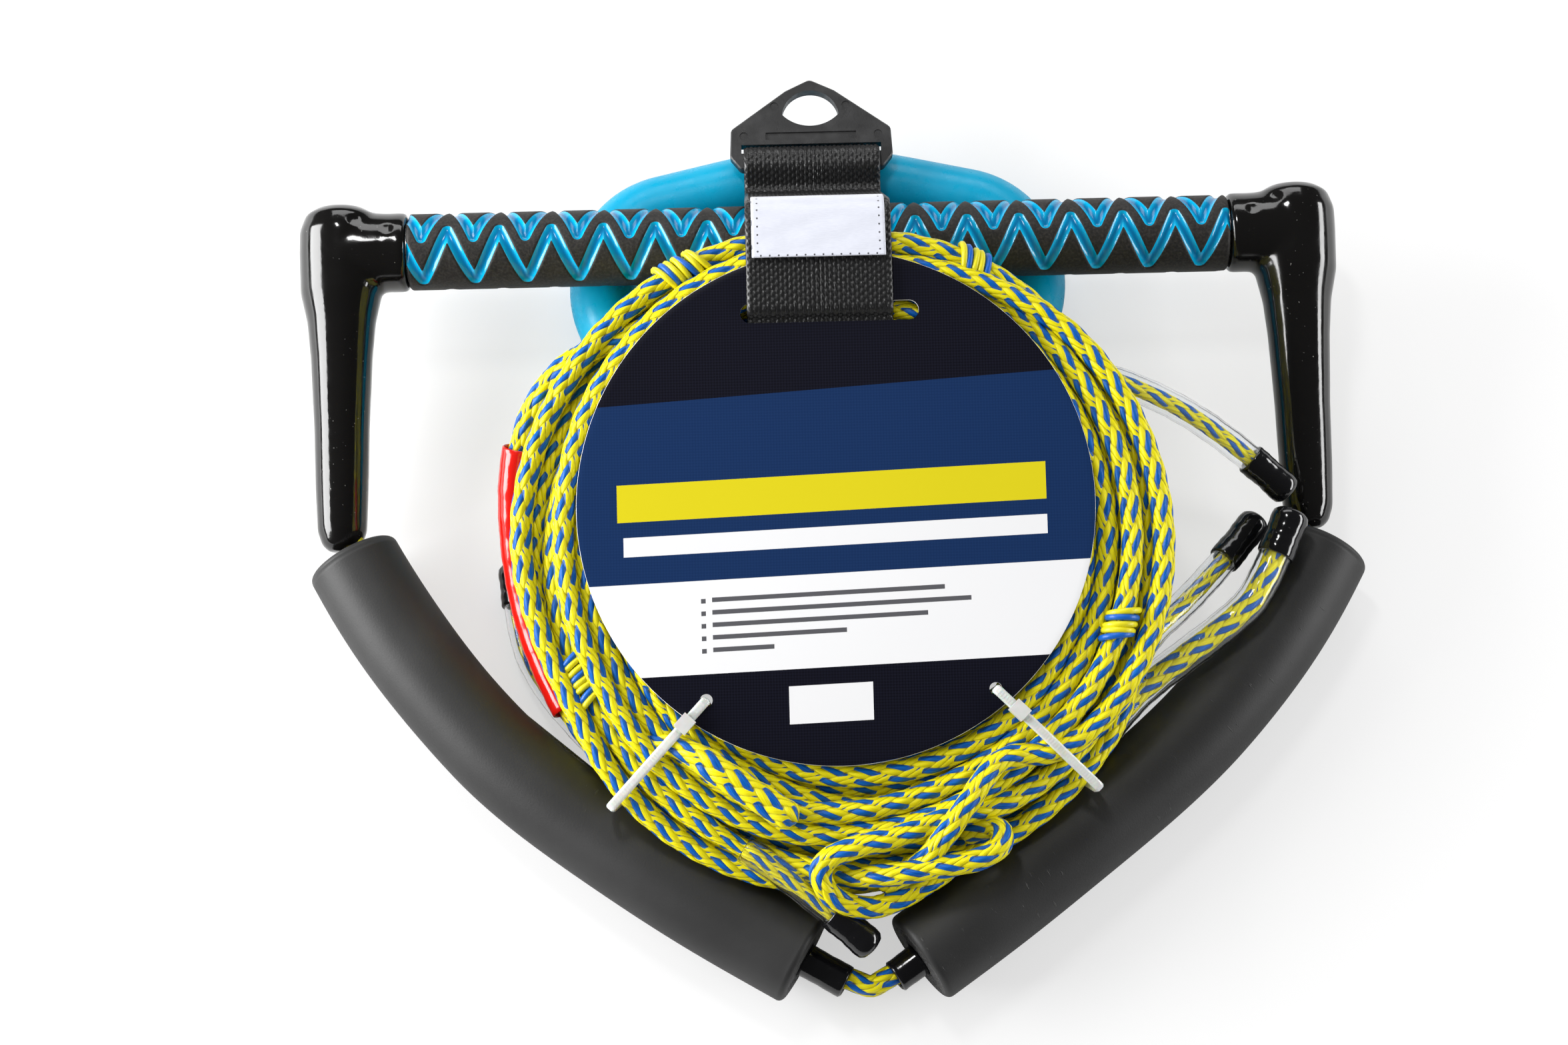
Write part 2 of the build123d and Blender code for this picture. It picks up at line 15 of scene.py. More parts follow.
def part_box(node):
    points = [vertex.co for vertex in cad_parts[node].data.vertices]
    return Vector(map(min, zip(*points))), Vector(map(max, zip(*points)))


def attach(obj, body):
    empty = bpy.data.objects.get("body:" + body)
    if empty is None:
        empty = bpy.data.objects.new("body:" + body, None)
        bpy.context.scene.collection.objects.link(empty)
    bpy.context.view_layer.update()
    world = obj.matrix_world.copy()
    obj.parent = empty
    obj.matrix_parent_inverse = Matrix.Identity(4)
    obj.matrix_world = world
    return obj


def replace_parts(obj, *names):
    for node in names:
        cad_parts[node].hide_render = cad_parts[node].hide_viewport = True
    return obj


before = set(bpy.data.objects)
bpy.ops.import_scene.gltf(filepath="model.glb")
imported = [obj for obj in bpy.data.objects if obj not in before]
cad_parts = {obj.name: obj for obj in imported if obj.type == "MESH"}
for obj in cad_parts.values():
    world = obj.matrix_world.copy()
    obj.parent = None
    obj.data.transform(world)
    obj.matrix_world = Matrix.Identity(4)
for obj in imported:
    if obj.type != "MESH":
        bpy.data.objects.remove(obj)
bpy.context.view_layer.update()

MM = 0.001
grip_low, grip_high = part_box("grip_skin")
BAR = (grip_low + grip_high) / 2
BAR_Z = BAR.z / MM
FIXED = "handle_set"

# ---- sizes, in millimetres
GRIP_R = (grip_high.z - grip_low.z) / 2 / MM
GRIP_HALF = (grip_high.x - grip_low.x) / 2 / MM
ARM_X = 175.2
ARM_SLOPE = math.radians(10.2)
FLOAT_R = 17.0
FLOAT_BORE_R = 6.2
FLOAT_MOUTH_R = 12.2
FLOAT_MOUTH_DEPTH = 32.0
ROPE_R = 4.1
THIN_ROPE_R = 3.0
CELL = 11.5  # length of one braid cell
BANDS = 5  # pairs of yarns side by side round the rope, each way
COIL_CENTRE = (5.0, -122.0)
COIL_OUTER_R = 119.0
COIL_INNER_R = 72.0
COIL_HEIGHT = 46.0
COIL_CUT_R = 104.0
COIL_CUT_HEIGHT = 38.0
COIL_SLOPE = math.radians(12.3)
COIL_LOW_Z = 0.5 + COIL_CUT_R * math.sin(COIL_SLOPE)
COIL_Y = COIL_CENTRE[1] + COIL_HEIGHT / 2 * math.sin(COIL_SLOPE)

# ---- routes of the uncoiled rope, each from its sleeve's closed end to the coil
ROUTES = {
    "a": ((165.7, -102.0, 40.0), (141.0, -80.5, 50.0), (104.0, -66.0, 66.0)),
    "b": ((155.4, -107.4, 29.0), (131.8, -135.9, 34.0), (107.0, -157.0, 43.0)),
    "c": ((165.5, -109.5, 43.5), (153.0, -138.5, 41.0), (140.5, -149.0, 38.0), (126.0, -158.5, 33.5),
          (103.0, -174.5, 30.0)),
    "d": ((11.5, -259.5, 29.0), (-16.5, -235.0, 40.0)),
    "e": ((-114.5, -111.0, 8.0), (-112.5, -138.0, 8.0), (-103.0, -158.0, 8.0), (-90.0, -174.0, 8.5),
          (-77.0, -189.0, 15.0)),
}
MARKER_ROUTE = ((-94.0, -58.0, 72.0), (-111.5, -84.0, 56.0), (-110.5, -130.0, 28.0),
                (-94.5, -171.0, 21.0), (-79.0, -191.0, 24.0))
TETHER_ROUTE = ((43.0, -185.0, 24.0), (33.0, -172.0, 10.0), (14.0, -151.0, 6.0), (0.0, -123.0, 12.0),
                (0.0, -95.0, 13.0))
# what each section does where it leaves the turns again: a blunt spliced end and three loose bights
TAILS = {
    "a": MARKER_ROUTE + ((-70.0, -188.5, 46.0), (-52.0, -192.5, 55.0), (-34.7, -206.7, 56.0),
                         (-13.6, -219.4, 52.0)),
    "b": ((37.4, -218.5, 49.0), (21.9, -225.4, 51.0), (4.0, -228.5, 51.0), (-7.5, -233.5, 48.0),
          (-4.5, -243.5, 43.0), (8.9, -248.0, 37.0), (24.0, -243.0, 36.0), (40.0, -232.0, 35.0)),
    "c": ((56.3, -198.1, 55.0), (46.4, -212.5, 57.0), (36.6, -225.6, 54.0), (27.0, -236.0, 46.0),
          (14.0, -239.0, 36.0)),
    "d": TETHER_ROUTE,
    "e": ((2.0, -236.5, 40.0), (17.4, -237.6, 47.0), (33.3, -235.9, 49.0), (46.8, -234.1, 50.0),
          (56.7, -229.2, 50.0), (55.0, -219.5, 47.0), (42.3, -223.6, 42.0)),
}
TURNS = {"a": (1, 2), "b": (-1, 2), "c": (-1, 2), "d": (-1, 24), "e": (1, 2)}  # way round, whole turns
SLEEVE_LENGTHS = {"a": 19.5, "b": 22.0, "c": 18.0, "d": 19.0, "e": 16.0}
SLEEVE_CAP = 2.0
SLEEVE_OVERLAP = 6.0
CLEAR_R = 5.0
WIDE_CLEAR_R = 5.9
CLEAR_WALL = 0.7
SLEEVE_WALL = 0.8
SLEEVE_NECK = 0.28  # how much a shrunk sleeve draws in over the tube's end
MARKER_R = 5.8
MARKER_WALL = 0.8
THINNING = 14.0  # over this length a rope goes from its thin end to its full radius
SPLICED, SPLICE_SWELL = 48.0, 1.25  # length of the blunt spliced end, and how much thicker it is
ROUND_END = 3.0  # length over which a plain end is rounded


# ======================================================================== places
def to_row(points):
    """Millimetres from the bar's middle at floor level, to metres in the frame."""
    return np.asarray(points, float) * MM + (BAR.x, BAR.y, 0.0)


def on_coil(across, up, height):
    """Layout millimetres of points given across the coil's face, up its slope, above its underside."""
    across, up, height = np.broadcast_arrays(across, up, height)
    return np.stack([
        COIL_CENTRE[0] + across,
        COIL_Y + up * math.cos(COIL_SLOPE) - height * math.sin(COIL_SLOPE),
        COIL_LOW_Z + up * math.sin(COIL_SLOPE) + height * math.cos(COIL_SLOPE),
    ], axis=-1)


def coil_polar(point):
    """(angle, radius, height) in the coil of a layout point."""
    x, y, z = point[0] - COIL_CENTRE[0], point[1] - COIL_Y, point[2] - COIL_LOW_Z
    up = y * math.cos(COIL_SLOPE) + z * math.sin(COIL_SLOPE)
    height = z * math.cos(COIL_SLOPE) - y * math.sin(COIL_SLOPE)
    return math.atan2(up, x), math.hypot(x, up), height


def on_arm(side, down):
    """A layout point on an arm's axis, at a distance down from the bar's axis."""
    return np.array((side * ARM_X, -down * math.cos(ARM_SLOPE), BAR_Z - down * math.sin(ARM_SLOPE)))


# ======================================================================== meshes
def make_object(name, points, faces, material, loops_uv=None):
    """A smooth mesh object from points in metres and arrays of faces, each array of one size."""
    faces = [np.asarray(f, np.int32) for f in faces]
    corners = np.concatenate([f.ravel() for f in faces])
    sizes = np.concatenate([np.full(len(f), f.shape[1], np.int32) for f in faces])
    mesh = bpy.data.meshes.new(name)
    mesh.vertices.add(len(points))
    mesh.vertices.foreach_set("co", np.asarray(points, np.float32).ravel())
    mesh.loops.add(len(corners))
    mesh.loops.foreach_set("vertex_index", corners)
    mesh.polygons.add(len(sizes))
    mesh.polygons.foreach_set("loop_start", np.concatenate([[0], np.cumsum(sizes)[:-1]]).astype(np.int32))
    mesh.polygons.foreach_set("use_smooth", np.ones(len(sizes), bool))
    mesh.update(calc_edges=True)
    if loops_uv is not None:
        layer = mesh.uv_layers.new(name="UVMap")
        layer.data.foreach_set("uv", np.asarray(loops_uv, np.float32).ravel())
    mesh.materials.append(material)
    thing = bpy.data.objects.new(name, mesh)
    bpy.context.scene.collection.objects.link(thing)
    return thing


def grid_faces(rows, columns):
    """Quads between rows of points, closed round each row."""
    i, j = np.meshgrid(np.arange(rows - 1), np.arange(columns), indexing="ij")
    following = (j + 1) % columns
    quads = np.stack([i * columns + j, i * columns + following,
                      (i + 1) * columns + following, (i + 1) * columns + j], axis=-1)
    return quads.reshape(-1, 4)


def grid_uv(along, columns):
    """UV of each face corner of grid_faces(): u runs once round the row, v is given for each row."""
    i, j = np.meshgrid(np.arange(len(along) - 1), np.arange(columns), indexing="ij")
    u0, u1 = j / columns, (j + 1) / columns
    v0, v1 = along[i], along[i + 1]
    return np.stack([u0, v0, u1, v0, u1, v1, u0, v1], axis=-1).reshape(-1, 2)


def end_fan(first, columns, centre, flip):
    """Triangles from a ring of points to one point."""
    j = np.arange(columns)
    ring, following = first + j, first + (j + 1) % columns
    order = [following, ring] if flip else [ring, following]
    return np.stack([*order, np.full(columns, centre)], axis=-1)


def distances(path):
    """How far along a path each of its points is."""
    return np.concatenate([[0], np.cumsum(np.linalg.norm(np.diff(path, axis=0), axis=1))])


def length_of(path):
    return np.sum(np.linalg.norm(np.diff(path, axis=0), axis=1))


def spaced(path, step):
    """The path again, with points about a step apart, and the distance of each along it."""
    lengths = distances(path)
    at = np.linspace(0, lengths[-1], max(2, int(round(lengths[-1] / step)) + 1))
    return np.stack([np.interp(at, lengths, path[:, k]) for k in range(3)], axis=1), at


def frames(path, up=(0.0, 0.0, 1.0)):
    """The tangent and two steady crosswise directions at each point of a path."""
    tangent = np.gradient(path, axis=0)
    tangent /= np.linalg.norm(tangent, axis=1)[:, None]
    side = np.empty_like(tangent)
    across = np.cross(up, tangent[0])
    if np.linalg.norm(across) < 0.1:
        across = np.cross((1.0, 0.0, 0.0), tangent[0])
    for i, along in enumerate(tangent):
        across = across - along * across.dot(along)
        across = across / np.linalg.norm(across)
        side[i] = across
    return tangent, side, np.cross(tangent, side)


def capped_tube(name, path, radius, material, along):
    """A closed tube along a path in metres. radius has one row for each point of the path, in metres too."""
    columns = radius.shape[1]
    _, side, over = frames(path)
    turn = np.arange(columns) * 2 * math.pi / columns
    rings = path[:, None] + radius[..., None] * (
        side[:, None] * np.cos(turn)[:, None] + over[:, None] * np.sin(turn)[:, None])
    points = rings.reshape(-1, 3)
    points = np.concatenate([points, path[:1], path[-1:]])
    last = (len(path) - 1) * columns
    faces = [grid_faces(len(path), columns), end_fan(0, columns, len(points) - 2, True),
             end_fan(last, columns, len(points) - 1, False)]
    uv = np.concatenate([grid_uv(along, columns), np.zeros((6 * columns, 2))])
    return make_object(name, points, faces, material, uv)


def turned(name, path, rows, columns, material):
    """A surface of rings along a path: rows are (distance along in metres, radius in metres)."""
    lengths = distances(path)
    tangent, side, over = frames(path)
    rows = np.asarray(rows, float)

    def read(field):
        return np.stack([np.interp(rows[:, 0], lengths, field[:, k]) for k in range(3)], axis=1)

    centre, side, over, tangent = read(path), read(side), read(over), read(tangent)
    beyond = rows[:, 0] - np.clip(rows[:, 0], 0, lengths[-1])
    centre = centre + tangent * beyond[:, None]
    turn = np.arange(columns) * 2 * math.pi / columns
    rings = centre[:, None] + rows[:, 1][:, None, None] * (
        side[:, None] * np.cos(turn)[:, None] + over[:, None] * np.sin(turn)[:, None])
    return make_object(name, rings.reshape(-1, 3), [grid_faces(len(rows), columns)], material,
                       grid_uv(rows[:, 0] / MM, columns))


def spline_points(name, points, resolution=6):
    """Points along the smooth NURBS line that has these layout points as its control points."""
    curve = bpy.data.curves.new(name, "CURVE")
    curve.dimensions = "3D"
    curve.resolution_u = resolution
    spline = curve.splines.new("NURBS")
    spline.points.add(len(points) - 1)
    for control, place in zip(spline.points, to_row(points)):
        control.co = (*place, 1.0)
    spline.order_u = 3
    spline.use_endpoint_u = True
    line = bpy.data.objects.new(name, curve)
    mesh = bpy.data.meshes.new_from_object(line)
    found = np.array([v.co for v in mesh.vertices], float)
    bpy.data.meshes.remove(mesh)
    bpy.data.objects.remove(line)
    bpy.data.curves.remove(curve)
    return found


# ======================================================================== materials
GROOVE_HALF = 1.95  # of the grip's zigzag grooves
STITCH_SIDE, STITCH_END = 21.2, 28.0  # the label's rows of stitch holes, from its middle line and its first end
STITCH_PITCH, STITCH_R = 3.1, 0.34
LEAN = 0.6  # how much more the tracer yarns' family shows than the other
YELLOW_INK, WHITE_INK, GREY_INK = (0.70, 0.60, 0.01), (0.84, 0.84, 0.85), (0.10, 0.10, 0.11)
TEXT_LEFT = -46.0
TEXT_LINES = ((-15.0, 40.0), (-19.3, 44.5), (-23.6, 37.0), (-27.9, 23.0), (-32.2, 10.5))  # top, half length
# the middle of each bar across the card, its low and high edge, half its length, and its ink
CARD_BARS = [(-4.0, 12.5, 25.5, 74.0, YELLOW_INK), (-3.0, 0.5, 7.2, 73.0, WHITE_INK)]
CARD_BARS += [(TEXT_LEFT + half, top - 1.6, top, half, GREY_INK) for top, half in TEXT_LINES]
CARD_BARS += [(TEXT_LEFT - 3.0, top - 1.9, top - 0.3, 0.8, GREY_INK) for top, _ in TEXT_LINES]
CARD_BARS += [(-6.0, -60.0, -47.0, 14.4, WHITE_INK)]


def feed(tree, socket, value):
    """Sets a socket to a value, or links it to another node's."""
    if isinstance(value, bpy.types.NodeSocket):
        tree.links.new(value, socket)
    else:
        socket.default_value = value


def math_node(tree, operation, *values):
    made = tree.nodes.new("ShaderNodeMath")
    made.operation = operation
    for socket, value in zip(made.inputs, values):
        feed(tree, socket, value)
    return made.outputs[0]


class Finish:
    """One procedural material: a Principled shader and short calls for the nodes that feed it."""

    def __init__(self, name, colour, roughness, **sockets):
        self.material = bpy.data.materials.new(name)
        self.material.use_nodes = True
        self.tree = self.material.node_tree
        self.shader = self.tree.nodes["Principled BSDF"]
        self.set("Base Color", (*colour, 1.0))
        self.set("Roughness", roughness)
        for socket, value in sockets.items():
            self.set(socket.replace("_", " "), value)
        self.place = self.node("ShaderNodeTexCoord").outputs["Object"]

    def set(self, socket, value):
        """Sets one of the shader's sockets to a value, or feeds it from a node."""
        self.feed(self.shader.inputs[socket], value)

    def feed(self, socket, value):
        feed(self.tree, socket, value)

    def node(self, kind, **settings):
        made = self.tree.nodes.new(kind)
        for name, value in settings.items():
            setattr(made, name, value)
        return made

    def math(self, operation, *values):
        return math_node(self.tree, operation, *values)

    def vector(self, operation, *values):
        made = self.node("ShaderNodeVectorMath", operation=operation)
        for socket, value in zip(made.inputs, values):
            self.feed(socket, value)
        return made.outputs["Value" if operation in ("DOT_PRODUCT", "LENGTH") else "Vector"]

    def noise(self, per_metre, detail=2.0, stretch=(1.0, 1.0, 1.0), place=None):
        made = self.node("ShaderNodeTexNoise")
        scaled = self.vector("MULTIPLY", place or self.place, stretch)
        self.feed(made.inputs["Vector"], scaled)
        made.inputs["Scale"].default_value = per_metre
        made.inputs["Detail"].default_value = detail
        return made.outputs["Fac"]

    def cells(self, per_metre):
        made = self.node("ShaderNodeTexVoronoi", feature="F1")
        self.feed(made.inputs["Vector"], self.place)
        made.inputs["Scale"].default_value = per_metre
        return made.outputs["Distance"]

    def steps(self, value, low, high, first=0.0, last=1.0):
        """value taken smoothly from first at low to last at high."""
        made = self.node("ShaderNodeMapRange", interpolation_type="SMOOTHSTEP")
        for socket, given in zip(made.inputs, (value, low, high, first, last)):
            self.feed(socket, given)
        return made.outputs[0]

    def mix(self, share, first, second):
        made = self.node("ShaderNodeMix", data_type="RGBA")
        self.feed(made.inputs["Factor"], share)
        for socket, colour in ((made.inputs[6], first), (made.inputs[7], second)):
            self.feed(socket, colour if isinstance(colour, bpy.types.NodeSocket) else (*colour, 1.0))
        return made.outputs[2]

    def uv(self):
        """The two UV values as separate numbers."""
        split = self.node("ShaderNodeSeparateXYZ")
        self.tree.links.new(self.node("ShaderNodeUVMap", uv_map="UVMap").outputs[0], split.inputs[0])
        return split.outputs[0], split.outputs[1]

    def bump(self, height, millimetres):
        """Adds a bump of that depth on top of any before it."""
        made = self.node("ShaderNodeBump")
        made.inputs["Strength"].default_value = 1.0
        made.inputs["Distance"].default_value = millimetres * MM
        self.feed(made.inputs["Height"], height)
        before = self.shader.inputs["Normal"].links
        if before:
            self.tree.links.new(before[0].from_socket, made.inputs["Normal"])
        self.set("Normal", made.outputs[0])


def glossy_rubber(name, colour, roughness, lint):
    """Moulded rubber with a wet gloss, a slow waviness and a little light dust on it."""
    made = Finish(name, colour, roughness, Coat_Weight=0.35, Coat_Roughness=0.06)
    dust = made.steps(made.noise(900.0, 1.0), 0.74, 0.80)
    patch = made.steps(made.noise(45.0, 2.0), 0.42, 0.66)
    speck = made.math("MULTIPLY", dust, made.math("MULTIPLY", patch, lint))
    made.set("Base Color", made.mix(speck, colour, (0.42, 0.42, 0.40)))
    made.set("Roughness", made.steps(made.noise(120.0, 3.0), 0.3, 0.75, roughness * 0.75, roughness * 1.5))
    made.bump(made.noise(70.0, 1.0), 0.25)
    made.bump(made.noise(1500.0, 2.0), 0.012)
    return made.material


def foam(name, colour, cut=False):
    """Closed-cell foam: a fine matte skin, creased across where it bends, or the open cells of a cut end."""
    made = Finish(name, colour, 0.56, Specular_IOR_Level=0.5)
    if cut:
        # painted shade: each open cell is darker in its middle, where the bump below sinks it into a pit
        made.set("Base Color", made.mix(made.steps(made.cells(800.0), 0.15, 0.6), (0.002,) * 3, (0.07,) * 3))
        made.bump(made.cells(800.0), 1.1)
        made.bump(made.noise(2200.0, 3.0), 0.3)
        return made.material
    u, v = made.uv()
    across = made.node("ShaderNodeCombineXYZ")
    made.feed(across.inputs[0], made.math("MULTIPLY", u, 16.0))
    made.feed(across.inputs[1], made.math("MULTIPLY", v, 0.55))
    lines = made.steps(made.noise(1.0, 3.0, place=across.outputs[0]), 0.66, 0.72)
    bent = made.steps(made.noise(19.0, 1.0), 0.50, 0.62)
    crease = made.math("MULTIPLY", lines, bent)
    rubbed = made.steps(made.noise(26.0, 4.0), 0.35, 0.75)
    paler = tuple(c * 1.35 + 0.003 for c in colour)
    shade = made.mix(rubbed, colour, paler)
    made.set("Base Color", made.mix(made.math("MULTIPLY", crease, 0.5), shade, (0.06, 0.06, 0.058)))
    made.bump(made.noise(1500.0, 3.0), 0.045)
    made.bump(made.noise(55.0, 2.0), 0.12)
    made.bump(crease, 0.12)
    return made.material


def braid_parts(made):
    """Height of a braid of paired yarns, and where its tracer yarn is on top, from the braid's UV."""
    u, v = made.uv()
    scaled = made.math("MULTIPLY", u, float(BANDS))
    first, second = made.math("SUBTRACT", scaled, v), made.math("ADD", scaled, v)
    whole_first, whole_second = made.math("ROUND", first), made.math("ROUND", second)

    def lift(whole, other, sign):
        turn = made.math("MULTIPLY", made.math("ADD", whole, other), math.pi)
        return made.math("MULTIPLY", made.math("COSINE", turn), 0.5 * sign)

    def yarns(value, whole):
        off = made.math("SUBTRACT", value, whole)
        apart = made.math("SUBTRACT", made.math("ABSOLUTE", off), 0.235)
        square = made.math("POWER", made.math("DIVIDE", apart, 0.24), 2.0)
        rounded = made.math("SQRT", made.math("MAXIMUM", made.math("SUBTRACT", 1.0, square), 0.0))
        return off, made.math("MULTIPLY", rounded, 0.5)

    off, round_first = yarns(first, whole_first)
    other_off, round_second = yarns(second, whole_second)
    high_first = made.math("ADD", lift(whole_first, second, 1.0), round_first)
    high_second = made.math("ADD", lift(whole_second, first, -1.0), round_second)
    over = made.math("GREATER_THAN", made.math("ADD", high_first, LEAN), high_second)
    tracer = made.math("MULTIPLY", over, made.math("LESS_THAN", off, 0.0))
    fibre_u = made.math("ADD", made.math("MULTIPLY", off, over),
                        made.math("MULTIPLY", other_off, made.math("SUBTRACT", 1.0, over)))
    fibres = made.node("ShaderNodeCombineXYZ")
    made.feed(fibres.inputs[0], made.math("MULTIPLY", fibre_u, 26.0))
    made.feed(fibres.inputs[1], made.math("MULTIPLY", v, 1.3))
    streak = made.node("ShaderNodeTexNoise")
    made.feed(streak.inputs["Vector"], fibres.outputs[0])
    streak.inputs["Scale"].default_value = 1.0
    return made.math("MAXIMUM", high_first, high_second), tracer, streak.outputs["Fac"]


def braided_rope(name):
    """Yellow polyethylene braid with one blue tracer yarn in each left-hand pair."""
    made = Finish(name, (0.80, 0.70, 0.02), 0.33, Specular_IOR_Level=0.3)
    height, tracer, streak = braid_parts(made)
    yellow = made.mix(made.steps(streak, 0.3, 0.7), (0.78, 0.66, 0.0), (0.96, 0.88, 0.01))
    blue = made.mix(made.steps(streak, 0.3, 0.7), (0.0, 0.065, 0.34), (0.0, 0.155, 0.60))
    colour = made.mix(tracer, yellow, blue)
    # painted shade: where the braid's surface is low, in the gaps between the yarns, the colour is darkened
    # towards a dark olive
    deep = made.math("MULTIPLY", made.steps(height, 0.12, 0.62, 1.0, 0.0), 0.75)
    made.set("Base Color", made.mix(deep, colour, (0.16, 0.13, 0.0)))
    made.bump(height, 1.0)
    made.bump(streak, 0.10)
    return made.material


def clear_vinyl(name):
    made = Finish(name, (0.97, 0.98, 0.99), 0.06, Transmission_Weight=1.0, IOR=1.38)
    made.bump(made.noise(110.0, 2.0), 0.12)
    return made.material


def grip_skin_finish(name):
    """Matte black foam skin with glossy cyan in its grooves; the distance to a groove is in the mesh."""
    made = Finish(name, (0.016, 0.014, 0.012), 0.6)
    away = made.node("ShaderNodeAttribute", attribute_name="groove_mm").outputs["Fac"]
    cyan_here = made.steps(away, GROOVE_HALF - 0.12, GROOVE_HALF + 0.12, 1.0, 0.0)
    speckle = made.steps(made.noise(1100.0, 3.0), 0.35, 0.8)
    black = made.mix(speckle, (0.010, 0.009, 0.008), (0.036, 0.032, 0.028))
    # painted shade: the cyan in each groove is darker down the groove's middle and paler towards its edges, as
    # the concave groove would be lit
    cyan = made.mix(made.steps(away, 0.0, GROOVE_HALF, 0.0, 1.0), (0.0, 0.20, 0.47), (0.0, 0.47, 0.80))
    made.set("Base Color", made.mix(cyan_here, black, cyan))
    made.set("Roughness", made.steps(cyan_here, 0.0, 1.0, 0.58, 0.16))
    grain = made.math("MULTIPLY", made.noise(1500.0, 3.0), made.math("SUBTRACT", 1.0, cyan_here))
    made.bump(grain, 0.09)
    return made.material


def cyan_rubber(name):
    made = Finish(name, (0.0, 0.36, 0.56), 0.3, Specular_IOR_Level=0.3)
    made.set("Base Color", made.mix(made.noise(40.0, 3.0), (0.0, 0.33, 0.56), (0.002, 0.43, 0.68)))
    made.set("Roughness", made.steps(made.noise(260.0, 3.0), 0.3, 0.7, 0.24, 0.4))
    made.bump(made.noise(1400.0, 2.0), 0.03)
    made.bump(made.noise(50.0, 1.0), 0.2)
    return made.material


def webbing_finish(name):
    """Black polyester webbing: its ribs are in the mesh, its yarns here."""
    made = Finish(name, (0.006, 0.006, 0.0065), 0.34, Specular_IOR_Level=0.6)
    lie = made.noise(2600.0, 2.0, (1.0, 0.22, 0.22))
    made.set("Base Color", made.mix(made.steps(lie, 0.3, 0.75), (0.003,) * 3, (0.018, 0.018, 0.019)))
    made.set("Roughness", made.steps(lie, 0.3, 0.7, 0.44, 0.26))
    made.bump(lie, 0.12)
    return made.material


def satin_label(name):
    made = Finish(name, (0.80, 0.82, 0.88), 0.38, Sheen_Weight=0.3)
    weave = made.noise(3200.0, 1.0, (0.15, 1.0, 1.0))
    cloth = made.mix(weave, (0.62, 0.64, 0.73), (0.74, 0.76, 0.84))
    across, along = made.uv()
    beside = made.math("SUBTRACT", made.math("ABSOLUTE", across), STITCH_SIDE)
    below = made.math("SUBTRACT", along, STITCH_END)

    def every(value):
        return made.math("PINGPONG", made.math("ADD", value, 0.5 * STITCH_PITCH), 0.5 * STITCH_PITCH)

    def dot(one, other, allowed):
        spot = made.math("SQRT", made.math("ADD", made.math("POWER", one, 2.0), made.math("POWER", other, 2.0)))
        near = made.steps(spot, STITCH_R * 0.7, STITCH_R * 1.2, 1.0, 0.0)
        return made.math("MULTIPLY", near, allowed)

    inside = made.math("LESS_THAN", beside, 0.3)
    above = made.math("LESS_THAN", below, 0.3)
    stitches = made.math("MAXIMUM", dot(every(across), below, inside), dot(every(below), beside, above))
    made.set("Base Color", made.mix(stitches, cloth, (0.05, 0.05, 0.06)))
    made.bump(stitches, -0.15)
    made.bump(weave, 0.03)
    made.bump(made.noise(90.0, 2.0), 0.25)
    return made.material


def moulded_plastic(name, colour, roughness):
    made = Finish(name, colour, roughness)
    paler = tuple(c * 1.8 + 0.008 for c in colour)
    made.set("Base Color", made.mix(made.steps(made.noise(150.0, 4.0), 0.4, 0.8), colour, paler))
    made.set("Roughness", made.steps(made.noise(400.0, 3.0), 0.3, 0.7, roughness * 0.8, roughness * 1.25))
    made.bump(made.noise(2400.0, 2.0), 0.04)
    return made.material


def natural_nylon(name):
    made = Finish(name, (0.80, 0.82, 0.80), 0.32, Transmission_Weight=0.25, IOR=1.45,
                  Subsurface_Weight=0.35, Subsurface_Scale=0.002)
    made.set("Base Color", made.mix(made.noise(300.0, 2.0), (0.72, 0.75, 0.73), (0.88, 0.89, 0.87)))
    made.bump(made.noise(900.0, 2.0), 0.03)
    return made.material


def plain_metal(name, colour, roughness):
    made = Finish(name, colour, roughness, Metallic=1.0)
    lines = made.noise(900.0, 3.0, (0.04, 1.0, 1.0))
    made.set("Roughness", made.steps(lines, 0.3, 0.7, roughness * 0.7, roughness * 1.4))
    made.bump(lines, 0.02)
    return made.material


def printed_card(name):
    """Colour bands on a glossy card. Plain bars and a blank box stand where its wording would be."""
    made = Finish(name, (0.01, 0.02, 0.09), 0.33, Specular_IOR_Level=0.2)
    across, up = made.uv()
    level = made.math("SUBTRACT", up, made.math("MULTIPLY", across, 0.033))

    def above(edge):
        return made.math("GREATER_THAN", level, edge)

    def bar(middle, low, high, half):
        inside = made.math("LESS_THAN", made.math("ABSOLUTE", made.math("SUBTRACT", across, middle)), half)
        band = made.math("SUBTRACT", above(low), above(high))
        return made.math("MULTIPLY", inside, band)

    weave = made.node("ShaderNodeTexChecker")
    weave.inputs["Scale"].default_value = 1.0
    threads = made.node("ShaderNodeCombineXYZ")
    made.feed(threads.inputs[0], made.math("ADD", across, up))
    made.feed(threads.inputs[1], made.math("SUBTRACT", across, up))
    made.feed(weave.inputs["Vector"], threads.outputs[0])
    fine = made.math("MULTIPLY", weave.outputs["Fac"], 0.35)
    black = made.mix(fine, (0.004, 0.004, 0.009), (0.013, 0.014, 0.028))
    navy = made.mix(fine, (0.006, 0.026, 0.095), (0.011, 0.038, 0.13))
    wedge = made.math("LESS_THAN", level, made.math("ADD", -77.0, made.math("MULTIPLY", made.math(
        "ABSOLUTE", made.math("ADD", across, 12.0)), 0.12)))
    slanted = made.math("GREATER_THAN", made.math("SUBTRACT", level, made.math("MULTIPLY", across, 0.027)), 55.3)
    colour = made.mix(slanted, navy, black)
    colour = made.mix(above(-9.0), (0.86, 0.86, 0.87), colour)
    colour = made.mix(above(-41.2), made.mix(wedge, black, navy), colour)
    for middle, low, high, half, ink in CARD_BARS:
        colour = made.mix(bar(middle, low, high, half), colour, ink)
    made.set("Base Color", colour)
    made.bump(made.noise(14.0, 1.0), 0.25)
    return made.material


